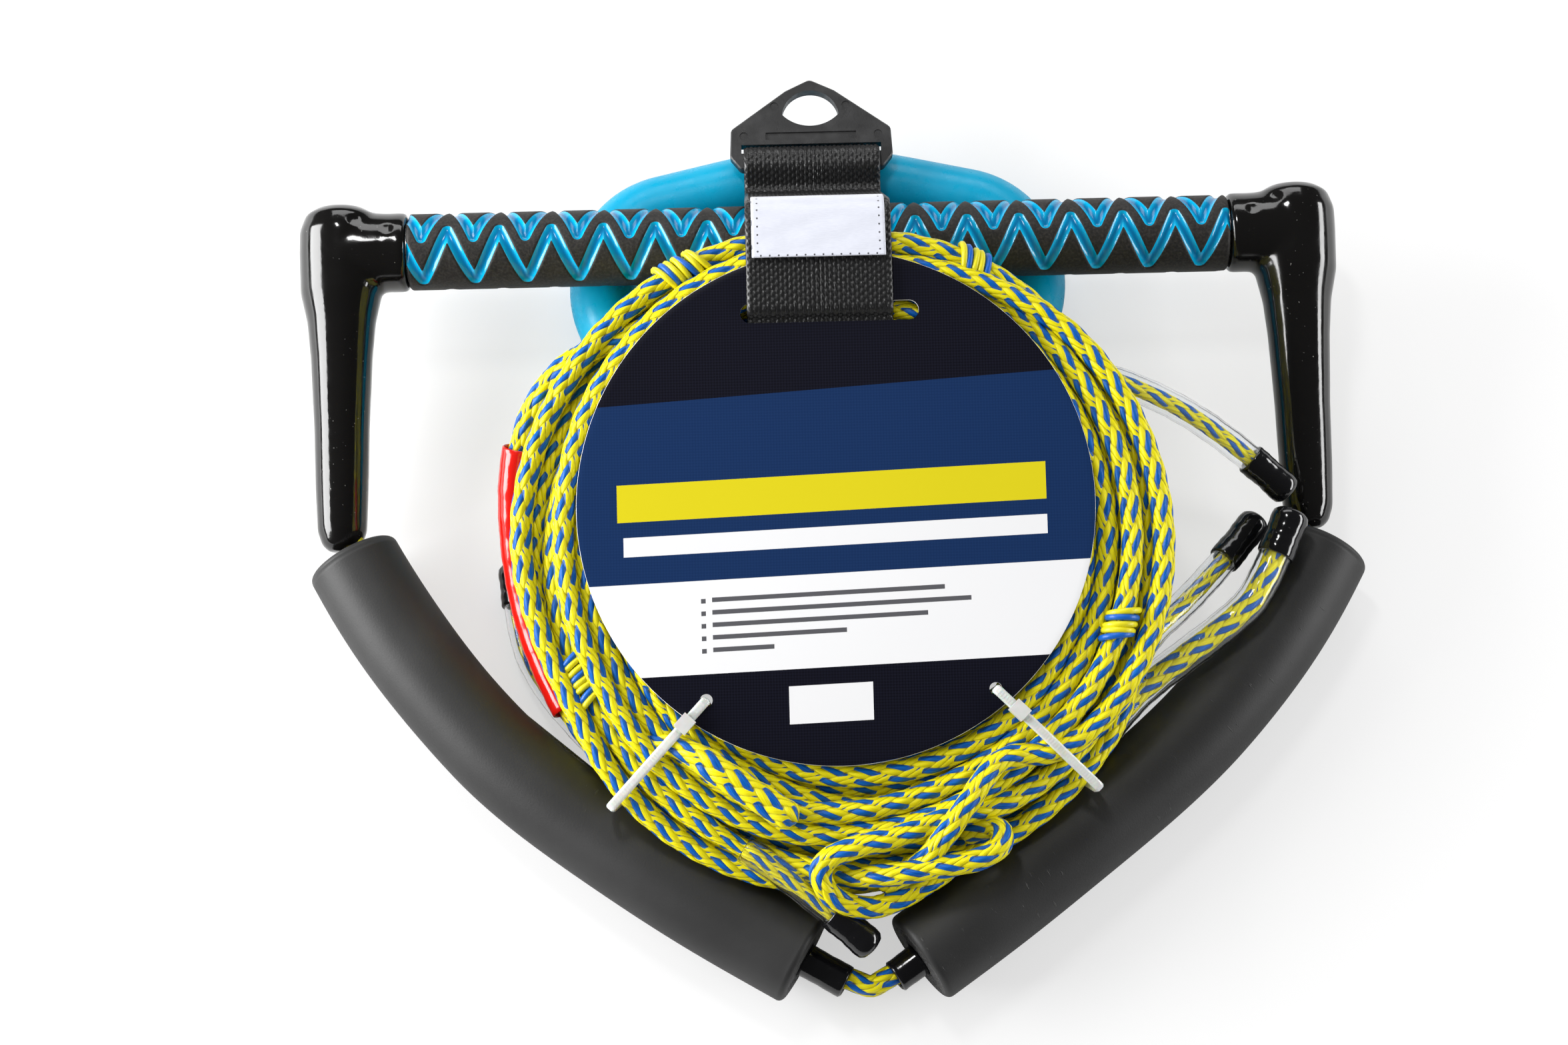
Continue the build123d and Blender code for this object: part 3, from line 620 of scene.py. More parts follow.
ROPE = braided_rope("rope_braid")
CLEAR = clear_vinyl("clear_vinyl")
RED = glossy_rubber("marker_red", (0.62, 0.008, 0.004), 0.16, 0.1)
SHRINK = glossy_rubber("sleeve_black", (0.006, 0.006, 0.007), 0.12, 0.3)
TPR_BLACK = glossy_rubber("arm_rubber", (0.0055, 0.0052, 0.005), 0.11, 0.85)
TPR_CYAN = cyan_rubber("trick_rubber")
FOAM = foam("float_foam", (0.018, 0.018, 0.018))
FOAM_CUT = foam("foam_cut", (0.010, 0.010, 0.010), cut=True)
GRIP = grip_skin_finish("grip_skin_foam")
CORE_CYAN = cyan_rubber("grip_core_foam")
WEBBING = webbing_finish("strap_webbing")
LABEL = satin_label("label_satin")
HANGER = moulded_plastic("hanger_plastic", (0.012, 0.012, 0.0125), 0.42)
NYLON = natural_nylon("tie_nylon")
CARD = printed_card("card_print")
CARD_EDGE = moulded_plastic("card_edge", (0.80, 0.80, 0.80), 0.5)
ALUMINIUM = plain_metal("drawn_aluminium", (0.80, 0.80, 0.81), 0.3)
STEEL = plain_metal("rivet_steel", (0.55, 0.55, 0.56), 0.25)


# ======================================================================== rope
STATIONS = 24  # points for each turn of the coil
SPACING = 7.65  # between the middles of turns that lie against each other
SWELL = 1 / math.cos(math.pi / STATIONS)  # the spline cuts inside its control points by this much
SETTLE_STEPS, LAST_STEPS = 260, 30
PUSH = 0.32  # share of an overlap that each step takes away
EVEN, EVEN_LAST = 0.16, 0.05  # pull towards the middle of a point's neighbours, and in the last steps
HOLD = 0.015  # pull back to where the point was planned
BULGE_FROM, BULGE = 91.0, 2.6  # turns outside this radius may rise this much above the coil's top
FLAT_BULGE = 0.4  # and the others this much
WANDER = 16.0  # how freely the main line picks its next place in the section
LAYERS = ((4.3, 4, 101.6), (10.6, 4, 103.5), (17.0, 5, 106.6), (23.4, 5, 109.0), (29.8, 5, 111.6),
          (36.2, 6, 114.0), (42.0, 6, 114.8))  # height, turns in it, radius of the outermost
FIRST_RADIUS, STAGGER = 74.5, 1.2
PLACES = {"a": ((78.0, 40.0), (82.0, 42.0), (88.0, 36.0)), "b": ((112.0, 38.0), (100.0, 42.0), (106.0, 42.0)),
          "c": ((112.0, 30.0), (90.0, 42.0), (106.0, 42.0)), "e": ((100.0, 8.0), (96.0, 20.0), (110.0, 40.0))}
MAIN_PLACE = (112.0, 40.0)  # radius and height at which the main line starts
WAIST = 9.0  # how far the coil is pressed in where the marker tube lies against it
WAIST_AT, WAIST_HALF = 205.0, 17.0  # degrees round the coil
STRAP_AT, STRAP_HALF = 90.0, 30.0
TIE_ANGLES = {"left": 226.7, "right": 315.1}
TIE_HALF = 12.0
ROPE_COLUMNS = 20
RELIEF = 0.55


def coil_limits(angle):
    """Inner and outer radius at the underside that the turns have at an angle round the coil."""
    def near(at, half, power=2):
        return math.exp(-((math.degrees(angle) % 360 - at) / half) ** power)

    near_strap = near(STRAP_AT, STRAP_HALF)
    tied = min(1.0, near_strap + sum(near(at, TIE_HALF) for at in TIE_ANGLES.values()))
    waist = WAIST * near(WAIST_AT, WAIST_HALF, 4)
    return COIL_INNER_R - 4.0 * (1 - tied), COIL_OUTER_R + 1.5 * (1 - near_strap) - waist


def settle(spots, station, before, after, goals, fixed_ends):
    """Pushes turns apart where they overlap, evens them out along the rope and keeps them in the ring."""
    groups = [np.flatnonzero(station == s) for s in range(STATIONS)]
    limits = np.array([coil_limits(2 * math.pi * s / STATIONS) for s in station])
    for step in range(SETTLE_STEPS):
        for ids in groups:
            here = spots[ids]
            gap = here[:, None] - here[None]
            far = np.linalg.norm(gap, axis=2) + np.eye(len(ids)) * 99.0
            push = np.clip(SPACING - far, 0, None) * PUSH
            spots[ids] += (gap / far[..., None] * push[..., None]).sum(1)
        neighbours = (np.where(before[:, None] < 0, fixed_ends[:, 0], spots[before])
                      + np.where(after[:, None] < 0, fixed_ends[:, 1], spots[after])) / 2
        even = EVEN if step < SETTLE_STEPS - LAST_STEPS else EVEN_LAST
        spots += even * (neighbours - spots) + HOLD * (goals - spots)
        low, high = ROPE_R, COIL_HEIGHT - ROPE_R + np.where(spots[:, 0] > BULGE_FROM, BULGE, FLAT_BULGE)
        spots[:, 1] = np.clip(spots[:, 1], low, high)
        flare = np.clip(spots[:, 1] / COIL_CUT_HEIGHT, 0, 1) - 1
        outer = limits[:, 1] + (COIL_OUTER_R - COIL_CUT_R) * flare - ROPE_R
        spots[:, 0] = np.clip(spots[:, 0], limits[:, 0] + ROPE_R, outer)
    return spots


def wind_coil():
    """The control points of every rope's turns in the coil, in layout millimetres."""
    random = np.random.default_rng(11)
    step = 2 * math.pi / STATIONS
    slots = []
    for layer, (height, count, outer) in enumerate(LAYERS):
        radii = np.linspace(FIRST_RADIUS + STAGGER * (layer % 2), outer - STAGGER * (1 - layer % 2), count)
        slots += [(radius, height) for radius in radii]
    free = [np.array(s) for s in slots]

    def take(wanted, loose):
        """The free slot nearest to a place, with some chance in the choice."""
        scores = [np.linalg.norm((s - wanted) * (1.0, 1.3)) + loose * random.random() for s in free]
        return free.pop(int(np.argmin(scores)))

    plans = {letter: [take(np.array(p), 2.0) for p in places] for letter, places in PLACES.items()}
    here, plans["d"] = np.array(MAIN_PLACE), []
    for _ in range(TURNS["d"][1] + 1):
        if not free:
            free = [np.array((88.0 + 8.0 * random.random(), 24.0))]
        here = take(here, WANDER)
        plans["d"].append(here)

    spots, station, before, after, goals, ends, spans = [], [], [], [], [], [], {}
    for letter, (way, whole) in TURNS.items():
        enter = coil_polar(ROUTES[letter][-1])
        leave = coil_polar(TAILS[letter][0])
        first = round(enter[0] / step + way * 0.9)
        last = round(leave[0] / step - way * 0.9)
        count = whole * STATIONS + (way * (last - first)) % STATIONS + 1
        begin = len(spots)
        wave = random.random(4) * 2 * math.pi
        shift = random.random(len(plans[letter]) + 1) * 0.5
        for k in range(count):
            turn = k / STATIONS
            whole_turn = min(int(turn), len(plans[letter]) - 1)
            following = min(whole_turn + 1, len(plans[letter]) - 1)
            share = np.clip((turn - int(turn) - shift[whole_turn]) / 0.45, 0, 1)
            share = share * share * (3 - 2 * share)
            goal = plans[letter][whole_turn] * (1 - share) + plans[letter][following] * share
            ripple = (math.sin(2.1 * turn * 2 * math.pi + wave[0]) * 1.6
                      + math.sin(3.3 * turn * 2 * math.pi + wave[1]),
                      math.sin(2.7 * turn * 2 * math.pi + wave[2]) * 0.9)
            spots.append(goal + ripple)
            goals.append(goal)
            station.append((first + way * k) % STATIONS)
            before.append(begin + k - 1 if k else -1)
            after.append(begin + k + 1 if k < count - 1 else -1)
            ends.append((enter[1:], leave[1:]))
        spans[letter] = (begin, count, first, way)
    placed = settle(np.array(spots), np.array(station), np.array(before), np.array(after),
                    np.array(goals), np.array(ends))
    turns = {}
    for letter, (begin, count, first, way) in spans.items():
        angle = (first + way * np.arange(count)) * step
        radius, height = placed[begin:begin + count].T
        turns[letter] = on_coil(radius * SWELL * np.cos(angle), radius * SWELL * np.sin(angle), height)
    return turns


def braid_height(u, v):
    """Height of the braid's surface, 0 in its gaps and 1 on top of a pair of yarns."""
    first, second = BANDS * u - v, BANDS * u + v
    whole_first, whole_second = np.round(first), np.round(second)
    over = 0.5 * np.cos(math.pi * (whole_first + second))
    under = -0.5 * np.cos(math.pi * (first + whole_second))
    over += 0.5 * np.sqrt(np.clip(1 - (2 * (first - whole_first)) ** 2, 0, 1))
    under += 0.5 * np.sqrt(np.clip(1 - (2 * (second - whole_second)) ** 2, 0, 1))
    return np.where(over + LEAN > under, over + 0.1, under)


def rope_mesh(name, path, radius_mm):
    """A braided rope along a path in metres. radius_mm gives the rope's radius at distances in millimetres."""
    path, at = spaced(path, CELL * MM / 8)
    v = at / MM / CELL
    u = np.arange(ROPE_COLUMNS) / ROPE_COLUMNS
    height = braid_height(u[None], v[:, None])
    radius = np.array([radius_mm(distance, at[-1] / MM) for distance in at / MM])
    relief = RELIEF * np.minimum(1.0, radius / ROPE_R)
    return capped_tube(name, path, (radius[:, None] - relief[:, None] * (1 - height)) * MM, ROPE, v)


def nearest(path, layout_point):
    """The distance in millimetres along a path where it passes nearest to a layout point."""
    at = distances(path)
    return at[np.argmin(np.linalg.norm(path - to_row(layout_point), axis=1))] / MM


def stretch_of(path, start, end):
    """The part of a path between two distances in millimetres along it."""
    at = distances(path)
    steps = np.linspace(start * MM, end * MM, max(6, int((end - start) / 1.5)))
    return np.stack([np.interp(steps, at, path[:, k]) for k in range(3)], axis=1)


def hollow_tube(name, path, outer, wall, material, columns=28):
    """A thin tube with rounded ends, in metres along its path and millimetres across."""
    length = length_of(path) / MM
    along = np.linspace(0, length, max(8, int(length / 1.5)))
    wobble = 0.07 * np.sin(along * 0.55) + 0.05 * np.sin(along * 1.3 + 1.0)
    outside = [(s * MM, (outer + w) * MM) for s, w in zip(along, wobble)]
    inside = [(s * MM, (outer - wall + w) * MM) for s, w in zip(along, wobble)]
    rim = [((length + wall * 0.4) * MM, (outer - wall / 2) * MM)]
    start = [(-wall * 0.4 * MM, (outer - wall / 2) * MM)]
    return turned(name, path, start + outside + rim + inside[::-1] + start, columns, material)


def closed_sleeve(name, path, length, outer, inner):
    """A shrunk sleeve that is closed and a little pinched at its start."""
    rows = [(0.0, 0.05), (0.1, outer * 0.45), (0.7, outer * 0.78), (1.9, outer * 0.96), (3.4, outer)]
    steps = np.linspace(4.5, length - 0.8, 14)
    rows += [(s, outer - SLEEVE_NECK * math.exp(-((s - length * 0.55) / 3.0) ** 2) + 0.08 * math.sin(s * 1.7))
             for s in steps]
    rows += [(length - 0.3, outer - 0.1), (length, outer - 0.4), (length - 0.2, inner), (length - 5.0, inner)]
    return turned(name, path, [(s * MM, r * MM) for s, r in rows], 32, SHRINK)


def yarn(name, colour):
    """One coarse polyethylene yarn on its own, where a splice's tucks show."""
    made = Finish(name, colour, 0.34)
    made.bump(made.noise(2500.0, 2.0, (1.0, 1.0, 0.3)), 0.08)
    return made.material


YARNS = [yarn("yarn_yellow", (0.80, 0.72, 0.01)), yarn("yarn_blue", (0.003, 0.12, 0.55))]
YARN_R, YARN_COLUMNS = 1.15, 8
TUCK_STEP = 2.25  # along the rope, from one tuck to the next
# where splices show on the coil, and how many tucks each has
TUFTS = {"upper_left": ((-55.1, -21.8), 7), "upper_right": ((62.9, -15.1), 5),
         "lower_left": ((-88.5, -169.6), 8), "lower_right": ((97.4, -156.7), 5)}


def tuck_line(centre, along, side, over, sway):
    """One yarn's way over the rope, from one side to the other, in metres."""
    turn = np.linspace(-1.75, 1.75, 15)[:, None]
    reach = (ROPE_R + 0.75 + 0.5 * np.cos(turn)) * MM
    return centre + side * np.sin(turn) * reach + over * np.cos(turn) * reach + along * np.sin(turn) * sway * MM


def make_tuft(word, path, place, count, random):
    """The tucks of a splice: short yarn ends that cross over the rope in a row."""
    nearest_point = int(np.argmin(np.linalg.norm((path - to_row((*place, 0.0)))[:, :2], axis=1)))
    along = frames(path)[0][nearest_point]
    over = np.array((0.0, -0.25, 1.0))
    over = over - along * over.dot(along)
    over /= np.linalg.norm(over)
    side = np.cross(along, over)
    rings, faces, sorts = [], [], []
    columns = YARN_COLUMNS
    for k in range(count):
        step = (k - (count - 1) / 2) * TUCK_STEP + random.uniform(-0.3, 0.3)
        centre = path[nearest_point] + along * step * MM
        line = tuck_line(centre, along, side, over, 1.6 + random.uniform(-0.5, 0.9))
        _, line_side, line_over = frames(line, tuple(along))
        turn = np.arange(columns) * 2 * math.pi / columns
        ring = line[:, None] + YARN_R * MM * (line_side[:, None] * np.cos(turn)[:, None]
                                              + line_over[:, None] * np.sin(turn)[:, None])
        faces.append(grid_faces(len(line), columns) + sum(len(r) for r in rings))
        rings.append(ring.reshape(-1, 3))
        sorts.append(np.full(len(faces[-1]), 1 if k % 3 == 1 else 0, np.int32))
    tuft = make_object(f"splice_{word}", np.concatenate(rings), [np.concatenate(faces)], YARNS[0])
    tuft.data.materials.append(YARNS[1])
    tuft.data.polygons.foreach_set("material_index", np.concatenate(sorts))
    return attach(tuft, FIXED)


def make_tufts(paths):
    """Each splice on the topmost rope at its place; gives the pieces for each rope."""
    random = np.random.default_rng(5)
    found = {letter: [] for letter in paths}
    for word, (place, count) in TUFTS.items():
        best = (-999.0, None, None)
        for letter, path in paths.items():
            away = np.linalg.norm((path - to_row((*place, 0.0)))[:, :2], axis=1)
            score = path[:, 2] - 2 * away
            top = int(np.argmax(score))
            best = max(best, (score[top], letter, top))
        letter, point = best[1], paths[best[1]][best[2]]
        spot = tuple((point[:2] - (BAR.x, BAR.y)) / MM)
        near = np.linalg.norm(paths[letter] - point, axis=1) < 0.03
        found[letter].append(make_tuft(word, paths[letter][near], spot, count, random))
    return found


def make_ropes():
    """Every rope with the tubes, sleeves, marker and splices on it."""
    turns = wind_coil()
    paths = {letter: spline_points(f"route_{letter}", np.concatenate(
        [np.array(route), turns[letter], np.array(TAILS[letter])])) for letter, route in ROUTES.items()}
    tufts = make_tufts(paths)
    for letter, path in paths.items():
        make_rope(letter, path, tufts[letter])


def make_rope(letter, path, tufts):
    """One length of rope with what is on it."""
    sleeve_length = SLEEVE_LENGTHS[letter]
    wide = letter == "c"
    start_r = ROPE_R if wide else THIN_ROPE_R
    clear_r = WIDE_CLEAR_R if wide else CLEAR_R
    covered = nearest(path[:len(path) // 3], ROUTES[letter][-1]) + THINNING
    thin = [(0.0, covered, start_r)]
    nodes = [f"rope_{letter}"]
    on_it = list(tufts)
    if letter == "a":
        marked = [nearest(path, MARKER_ROUTE[1]), nearest(path, MARKER_ROUTE[3])]
        thin.append((marked[0] - 4.0, marked[1] + 4.0, THIN_ROPE_R + 0.6))
        nodes.append("marker_rope")
        red = hollow_tube("marker_tube_red", stretch_of(path, *marked), MARKER_R, MARKER_WALL, RED)
        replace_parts(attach(red, FIXED), "marker_tube")
        on_it.append(red)
    if letter == "d":
        nodes += ["rope_coil", "trick_tether"]
    spliced = SPLICED if letter == "a" else 0.0

    def radius_mm(distance, total):
        radius = ROPE_R
        for begin, end, small in thin:
            away = max(begin - distance, distance - end, 0.0)
            radius = min(radius, small + (ROPE_R - small) * min(1.0, away / THINNING))
        if spliced:
            radius += SPLICE_SWELL * min(1.0, max(0.0, (distance - total + spliced) / 12.0))
            radius *= math.sqrt(max(0.02, 1 - max(0.0, 1 - (total - distance) / radius) ** 2))
        elif distance > total - ROUND_END:
            radius *= math.sqrt(max(0.04, 1 - (1 - (total - distance) / ROUND_END) ** 2))
        return radius

    rope = rope_mesh(f"rope_{letter}_braid", stretch_of_all(path, SLEEVE_CAP), radius_mm)
    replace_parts(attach(rope, FIXED), *nodes)
    clear_path = stretch_of(path, sleeve_length - SLEEVE_OVERLAP, covered)
    clear = hollow_tube(f"clear_tube_{letter}_vinyl", clear_path, clear_r, CLEAR_WALL, CLEAR)
    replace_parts(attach(clear, FIXED), f"clear_tube_{letter}")
    sleeve = closed_sleeve(f"sleeve_{letter}_shrunk", stretch_of(path, 0.0, sleeve_length + 1.0),
                           sleeve_length, clear_r + SLEEVE_WALL, start_r + 0.05)
    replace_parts(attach(sleeve, FIXED), f"sleeve_{letter}")
    whole, _ = spaced(path, 3 * MM)


def stretch_of_all(path, start):
    """A path without its first few millimetres."""
    at = distances(path)
    steps, _ = spaced(np.concatenate([stretch_of(path, start, start + 9.0), path[at > (start + 10.0) * MM]]), MM)
    return steps


# ======================================================================== bar grip
GROOVE_PITCH = 18.91
GROOVE_FIRST = -144.4  # a trough of the zigzags, from the bar's middle
GROOVE_DEEP = 1.25
GROOVE_SWING = 42.5  # degrees round the grip, each way
GROOVE_MIDDLES = (-8.5, 64.5, 155.0, 228.0)  # degrees from the line towards the camera
GRIP_FACING = -24.0  # degrees of that line from upright, towards the bar's open side
GRIP_STEP = 0.45


def groove_away(along, around):
    """Distance from the nearest groove's middle, of points along the bar and in degrees round it."""
    swing = math.radians(GROOVE_SWING) * GRIP_R
    here = (along - GROOVE_FIRST) % GROOVE_PITCH
    nearest_groove = np.full(np.shape(along), 99.0)
    for middle in GROOVE_MIDDLES:
        rise = np.radians((around - middle + 180) % 360 - 180) * GRIP_R
        for half in range(-2, 4):
            start, low = half * GROOVE_PITCH / 2, swing * (-1 if half % 2 == 0 else 1)
            leg = np.array((GROOVE_PITCH / 2, -2 * low))
            share = ((here - start) * leg[0] + (rise - low) * leg[1]) / leg.dot(leg)
            share = np.clip(share, 0, 1)
            away = np.hypot(here - start - share * leg[0], rise - low - share * leg[1])
            nearest_groove = np.minimum(nearest_groove, away)
    return nearest_groove


def make_grip():
    """The foam grip, its zigzag grooves cut through the black skin into the cyan core."""
    rows, columns = int(2 * GRIP_HALF / GRIP_STEP), int(2 * math.pi * GRIP_R / GRIP_STEP)
    along = np.linspace(-GRIP_HALF, GRIP_HALF, rows)[:, None]
    around = np.arange(columns)[None] * 360 / columns
    along, around = np.broadcast_arrays(along, around)
    away = groove_away(along, around)
    depth = GROOVE_DEEP * np.clip(1 - (away / (GROOVE_HALF + 0.25)) ** 2, 0, 1) ** 0.8
    from_end = GRIP_HALF - np.abs(along)
    rim = 0.8 * np.clip(1 - from_end / 1.2, 0, 1) ** 2
    dent = 0.12 * np.sin(along / 23.0 + 1.0) * np.sin(np.radians(around * 2))
    radius = GRIP_R - depth - rim + dent
    angle = np.radians(around + GRIP_FACING)
    skin = np.stack([along, radius * np.sin(angle), BAR_Z + radius * np.cos(angle)], axis=-1)
    inner_r = GRIP_R - 2.9
    inner = np.stack([along, inner_r * np.sin(angle), BAR_Z + inner_r * np.cos(angle)], axis=-1)
    points = np.concatenate([inner[:1], skin, inner[-1:]])
    grip = make_object("grip_foam", to_row(points.reshape(-1, 3)), [grid_faces(rows + 2, columns)[:, ::-1]], GRIP)
    measured = grip.data.attributes.new("groove_mm", "FLOAT", "POINT")
    edge = np.full((1, columns), 9.0)
    measured.data.foreach_set("value", np.concatenate([edge, away, edge]).ravel().astype(np.float32))
    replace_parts(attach(grip, FIXED), "grip_skin")

    core = turned("grip_core_foam", to_row([(-GRIP_HALF, 0, BAR_Z), (0, 0, BAR_Z), (GRIP_HALF, 0, BAR_Z)]),
                  [(0.0, 0.0113), (0.0, 0.0120), (0.3, 0.0120), (0.3, 0.0113)], 64, CORE_CYAN)
    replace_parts(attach(core, FIXED), "grip_core")


# ======================================================================== arms
ARM_ROWS = ((-17.4, 5.0), (-16.6, 9.0), (-14.0, 13.0), (-8.0, 15.2), (0.0, 15.3), (15.0, 14.9), (26.0, 12.5),
            (39.0, 11.3), (65.0, 10.1), (88.0, 9.6), (103.0, 9.0), (108.3, 7.2), (110.6, 4.6))  # down, radius
COLLAR_ROWS = ((150.3, 11.6), (150.5, 13.9), (151.4, 14.6), (158.0, 14.5), (166.0, 15.0), (175.0, 15.2))
ARM_DIMPLES = ((-169.1, 7.2), (-156.9, 3.7), (167.3, 7.8), (158.4, 3.5))
ARM_VOXEL = 1.0
DIMPLE_R, DIMPLE_DEEP = 2.4, 0.5


def remeshed(thing, voxel, rounds):
    """A piece's overlapping closed shells, made one and smoothed."""
    shell = thing.modifiers.new("one_skin", "REMESH")
    shell.mode, shell.voxel_size, shell.use_smooth_shade = "VOXEL", voxel * MM, True
    even = thing.modifiers.new("even", "SMOOTH")
    even.factor, even.iterations = 0.5, rounds
    bpy.context.view_layer.update()
    mesh = bpy.data.meshes.new_from_object(thing.evaluated_get(bpy.context.evaluated_depsgraph_get()))
    thing.modifiers.clear()
    thing.data = mesh


def make_arm(side, word):
    """An arm's rubber cover: collar, rounded corner and taper in one moulding."""
    axis = np.array([on_arm(side, down) for down in (0.0, 60.0, 111.0)])
    shell = turned("arm_shell", to_row(axis), [(d * MM, r * MM) for d, r in ARM_ROWS], 48, TPR_BLACK)
    ends = [(side * x, 0.0, BAR_Z) for x in (COLLAR_ROWS[0][0], 160.0, COLLAR_ROWS[-1][0])]
    first = COLLAR_ROWS[0][0]
    collar_rows = [((x - first) * MM, r * MM) for x, r in COLLAR_ROWS]
    collar = turned("arm_collar", to_row(ends), collar_rows, 48, TPR_BLACK)
    form = bmesh.new()
    for part in (shell, collar):
        form.from_mesh(part.data)
        bpy.data.objects.remove(part)
    bmesh.ops.holes_fill(form, edges=[e for e in form.edges if e.is_boundary])
    bmesh.ops.recalc_face_normals(form, faces=form.faces)
    mesh = bpy.data.meshes.new("arm_form")
    form.to_mesh(mesh)
    form.free()
    cover = bpy.data.objects.new(f"{word}_arm_rubber", mesh)
    bpy.context.scene.collection.objects.link(cover)
    remeshed(cover, ARM_VOXEL, 12)
    cover.data.materials.clear()
    cover.data.materials.append(TPR_BLACK)
    spots = np.array([v.co for v in cover.data.vertices])
    for x, y in ARM_DIMPLES:
        centre = to_row((x, y, BAR_Z + 12.0))
        away = np.linalg.norm(spots[:, :2] - centre[:2], axis=1) / MM
        deep = DIMPLE_DEEP * np.clip(1 - (away / DIMPLE_R) ** 2, 0, 1) * (spots[:, 2] > centre[2] - 0.006)
        spots[:, 2] -= deep * MM
    cover.data.vertices.foreach_set("co", spots.astype(np.float32).ravel())
    cover.data.update()
    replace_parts(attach(cover, FIXED), f"{word}_arm_cover")


# ======================================================================== floats, end tubes, bridle
LEFT_FLOAT_PATH = ((-171.8, -111.0, 19.5), (-151.5, -149.0, 18.2), (-93.5, -212.0, 17.4), (-12.0, -260.5, 17.3))
RIGHT_FLOAT_PATH = ((180.6, -115.0, 17.4), (159.5, -152.5, 17.3), (106.5, -206.5, 17.3), (27.5, -261.5, 17.3))
FLOAT_RIM = 2.2
FLOAT_COLUMNS = 96
END_TUBE_R, END_TUBE_BORE_R, END_TUBE_SEAT = 5.8, 4.2, 24.0
END_TUBES_PROUD = {"left": 16.0, "right": 10.0}
KNOT_DOWN, ARM_EXIT_DOWN = 21.0, 116.0
BRIDLE_PAST = {"left": 20.5, "right": 14.0}


def beyond(points, more):
    """The last point of a path moved further along its last run."""
    last, before = np.array(points[-1]), np.array(points[-2])
    return last + (last - before) / np.linalg.norm(last - before) * more


def make_float(word, points):
    """A foam tube with softened rims, a wide mouth at its arm end and an end tube in the other."""
    path = spline_points(f"{word}_float_line", np.array(points), 24)
    length = length_of(path) / MM
    quarter = np.linspace(0, math.pi / 2, 7)
    rim = [(FLOAT_RIM * (1 - math.sin(a)), FLOAT_R - FLOAT_RIM * (1 - math.cos(a))) for a in quarter[::-1]]
    along = np.arange(FLOAT_RIM, length - FLOAT_RIM, 1.6)
    press = 0.22 * np.sin(along / 17.0) * np.sin(along / 41.0 + 0.6)
    outside = [(s, FLOAT_R + p) for s, p in zip(along, press)]
    far = [(length - s, r) for s, r in rim[::-1]]
    face_steps = np.linspace(FLOAT_R - FLOAT_RIM - 0.3, FLOAT_BORE_R, 8)
    mouth_steps = np.linspace(FLOAT_MOUTH_R, FLOAT_R - FLOAT_RIM - 0.2, 4)
    rows = rim + outside + far + [(length, r) for r in face_steps]
    cut_from = len(rim) + len(outside) + len(far) - 1
    rows += [(length - 3.0, FLOAT_BORE_R), (FLOAT_MOUTH_DEPTH, FLOAT_BORE_R), (FLOAT_MOUTH_DEPTH, FLOAT_MOUTH_R)]
    rows += [(0.4, FLOAT_MOUTH_R)] + [(0.0, r) for r in mouth_steps]
    body = turned(f"{word}_float_foam", path, [(s * MM, r * MM) for s, r in rows], FLOAT_COLUMNS, FOAM)
    body.data.materials.append(FOAM_CUT)
    cut = np.zeros(len(body.data.polygons), np.int32)
    cut[cut_from * FLOAT_COLUMNS:] = 1
    body.data.polygons.foreach_set("material_index", cut)
    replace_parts(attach(body, FIXED), f"{word}_float")

    seat = [beyond(points, -END_TUBE_SEAT), beyond(points, END_TUBES_PROUD[word])]
    tip = hollow_tube(f"{word}_end_tube_rubber", to_row(seat), END_TUBE_R,
                      END_TUBE_R - END_TUBE_BORE_R, SHRINK, 40)
    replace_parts(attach(tip, FIXED), f"{word}_end_tube")


def make_bridle():
    """The braided rope that runs from arm to arm through both floats."""
    points = [on_arm(-1, KNOT_DOWN), on_arm(-1, ARM_EXIT_DOWN), *LEFT_FLOAT_PATH[1:3],
              beyond(LEFT_FLOAT_PATH, BRIDLE_PAST["left"]), beyond(RIGHT_FLOAT_PATH, BRIDLE_PAST["right"]),
              *RIGHT_FLOAT_PATH[2:0:-1], on_arm(1, ARM_EXIT_DOWN), on_arm(1, KNOT_DOWN)]
    path = spline_points("bridle_line", np.array(points), 24)
    rope = rope_mesh("bridle_braid", path, lambda distance, total: ROPE_R - 0.1)
    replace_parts(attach(rope, FIXED), "bridle_rope")


# ======================================================================== strap, label, ties
def rounded(points, bends, step=0.5, closed=False):
    """Points a step apart along straight runs joined by arcs of these radii."""
    points = [np.array(p, float) for p in points]
    count = len(points)
    corners = range(count) if closed else range(1, count - 1)
    line = [] if closed else [points[0]]
    for corner, bend in zip(corners, bends):
        here = points[corner]
        a, b = points[corner - 1] - here, points[(corner + 1) % count] - here
        a, b = a / np.linalg.norm(a), b / np.linalg.norm(b)
        half = math.acos(np.clip(a.dot(b), -1, 1)) / 2
        middle = here + (a + b) / np.linalg.norm(a + b) * bend / math.sin(half)
        start, end = here + a * bend / math.tan(half) - middle, here + b * bend / math.tan(half) - middle
        turn = math.pi - 2 * half
        for share in np.linspace(0, 1, max(3, int(turn * bend / 0.5) + 2)):
            towards = start * math.sin((1 - share) * turn) + end * math.sin(share * turn)
            line.append(middle + towards / math.sin(turn))
    line = np.array(line + ([line[0]] if closed else [points[-1]]))
    return spaced(line, step)[0]


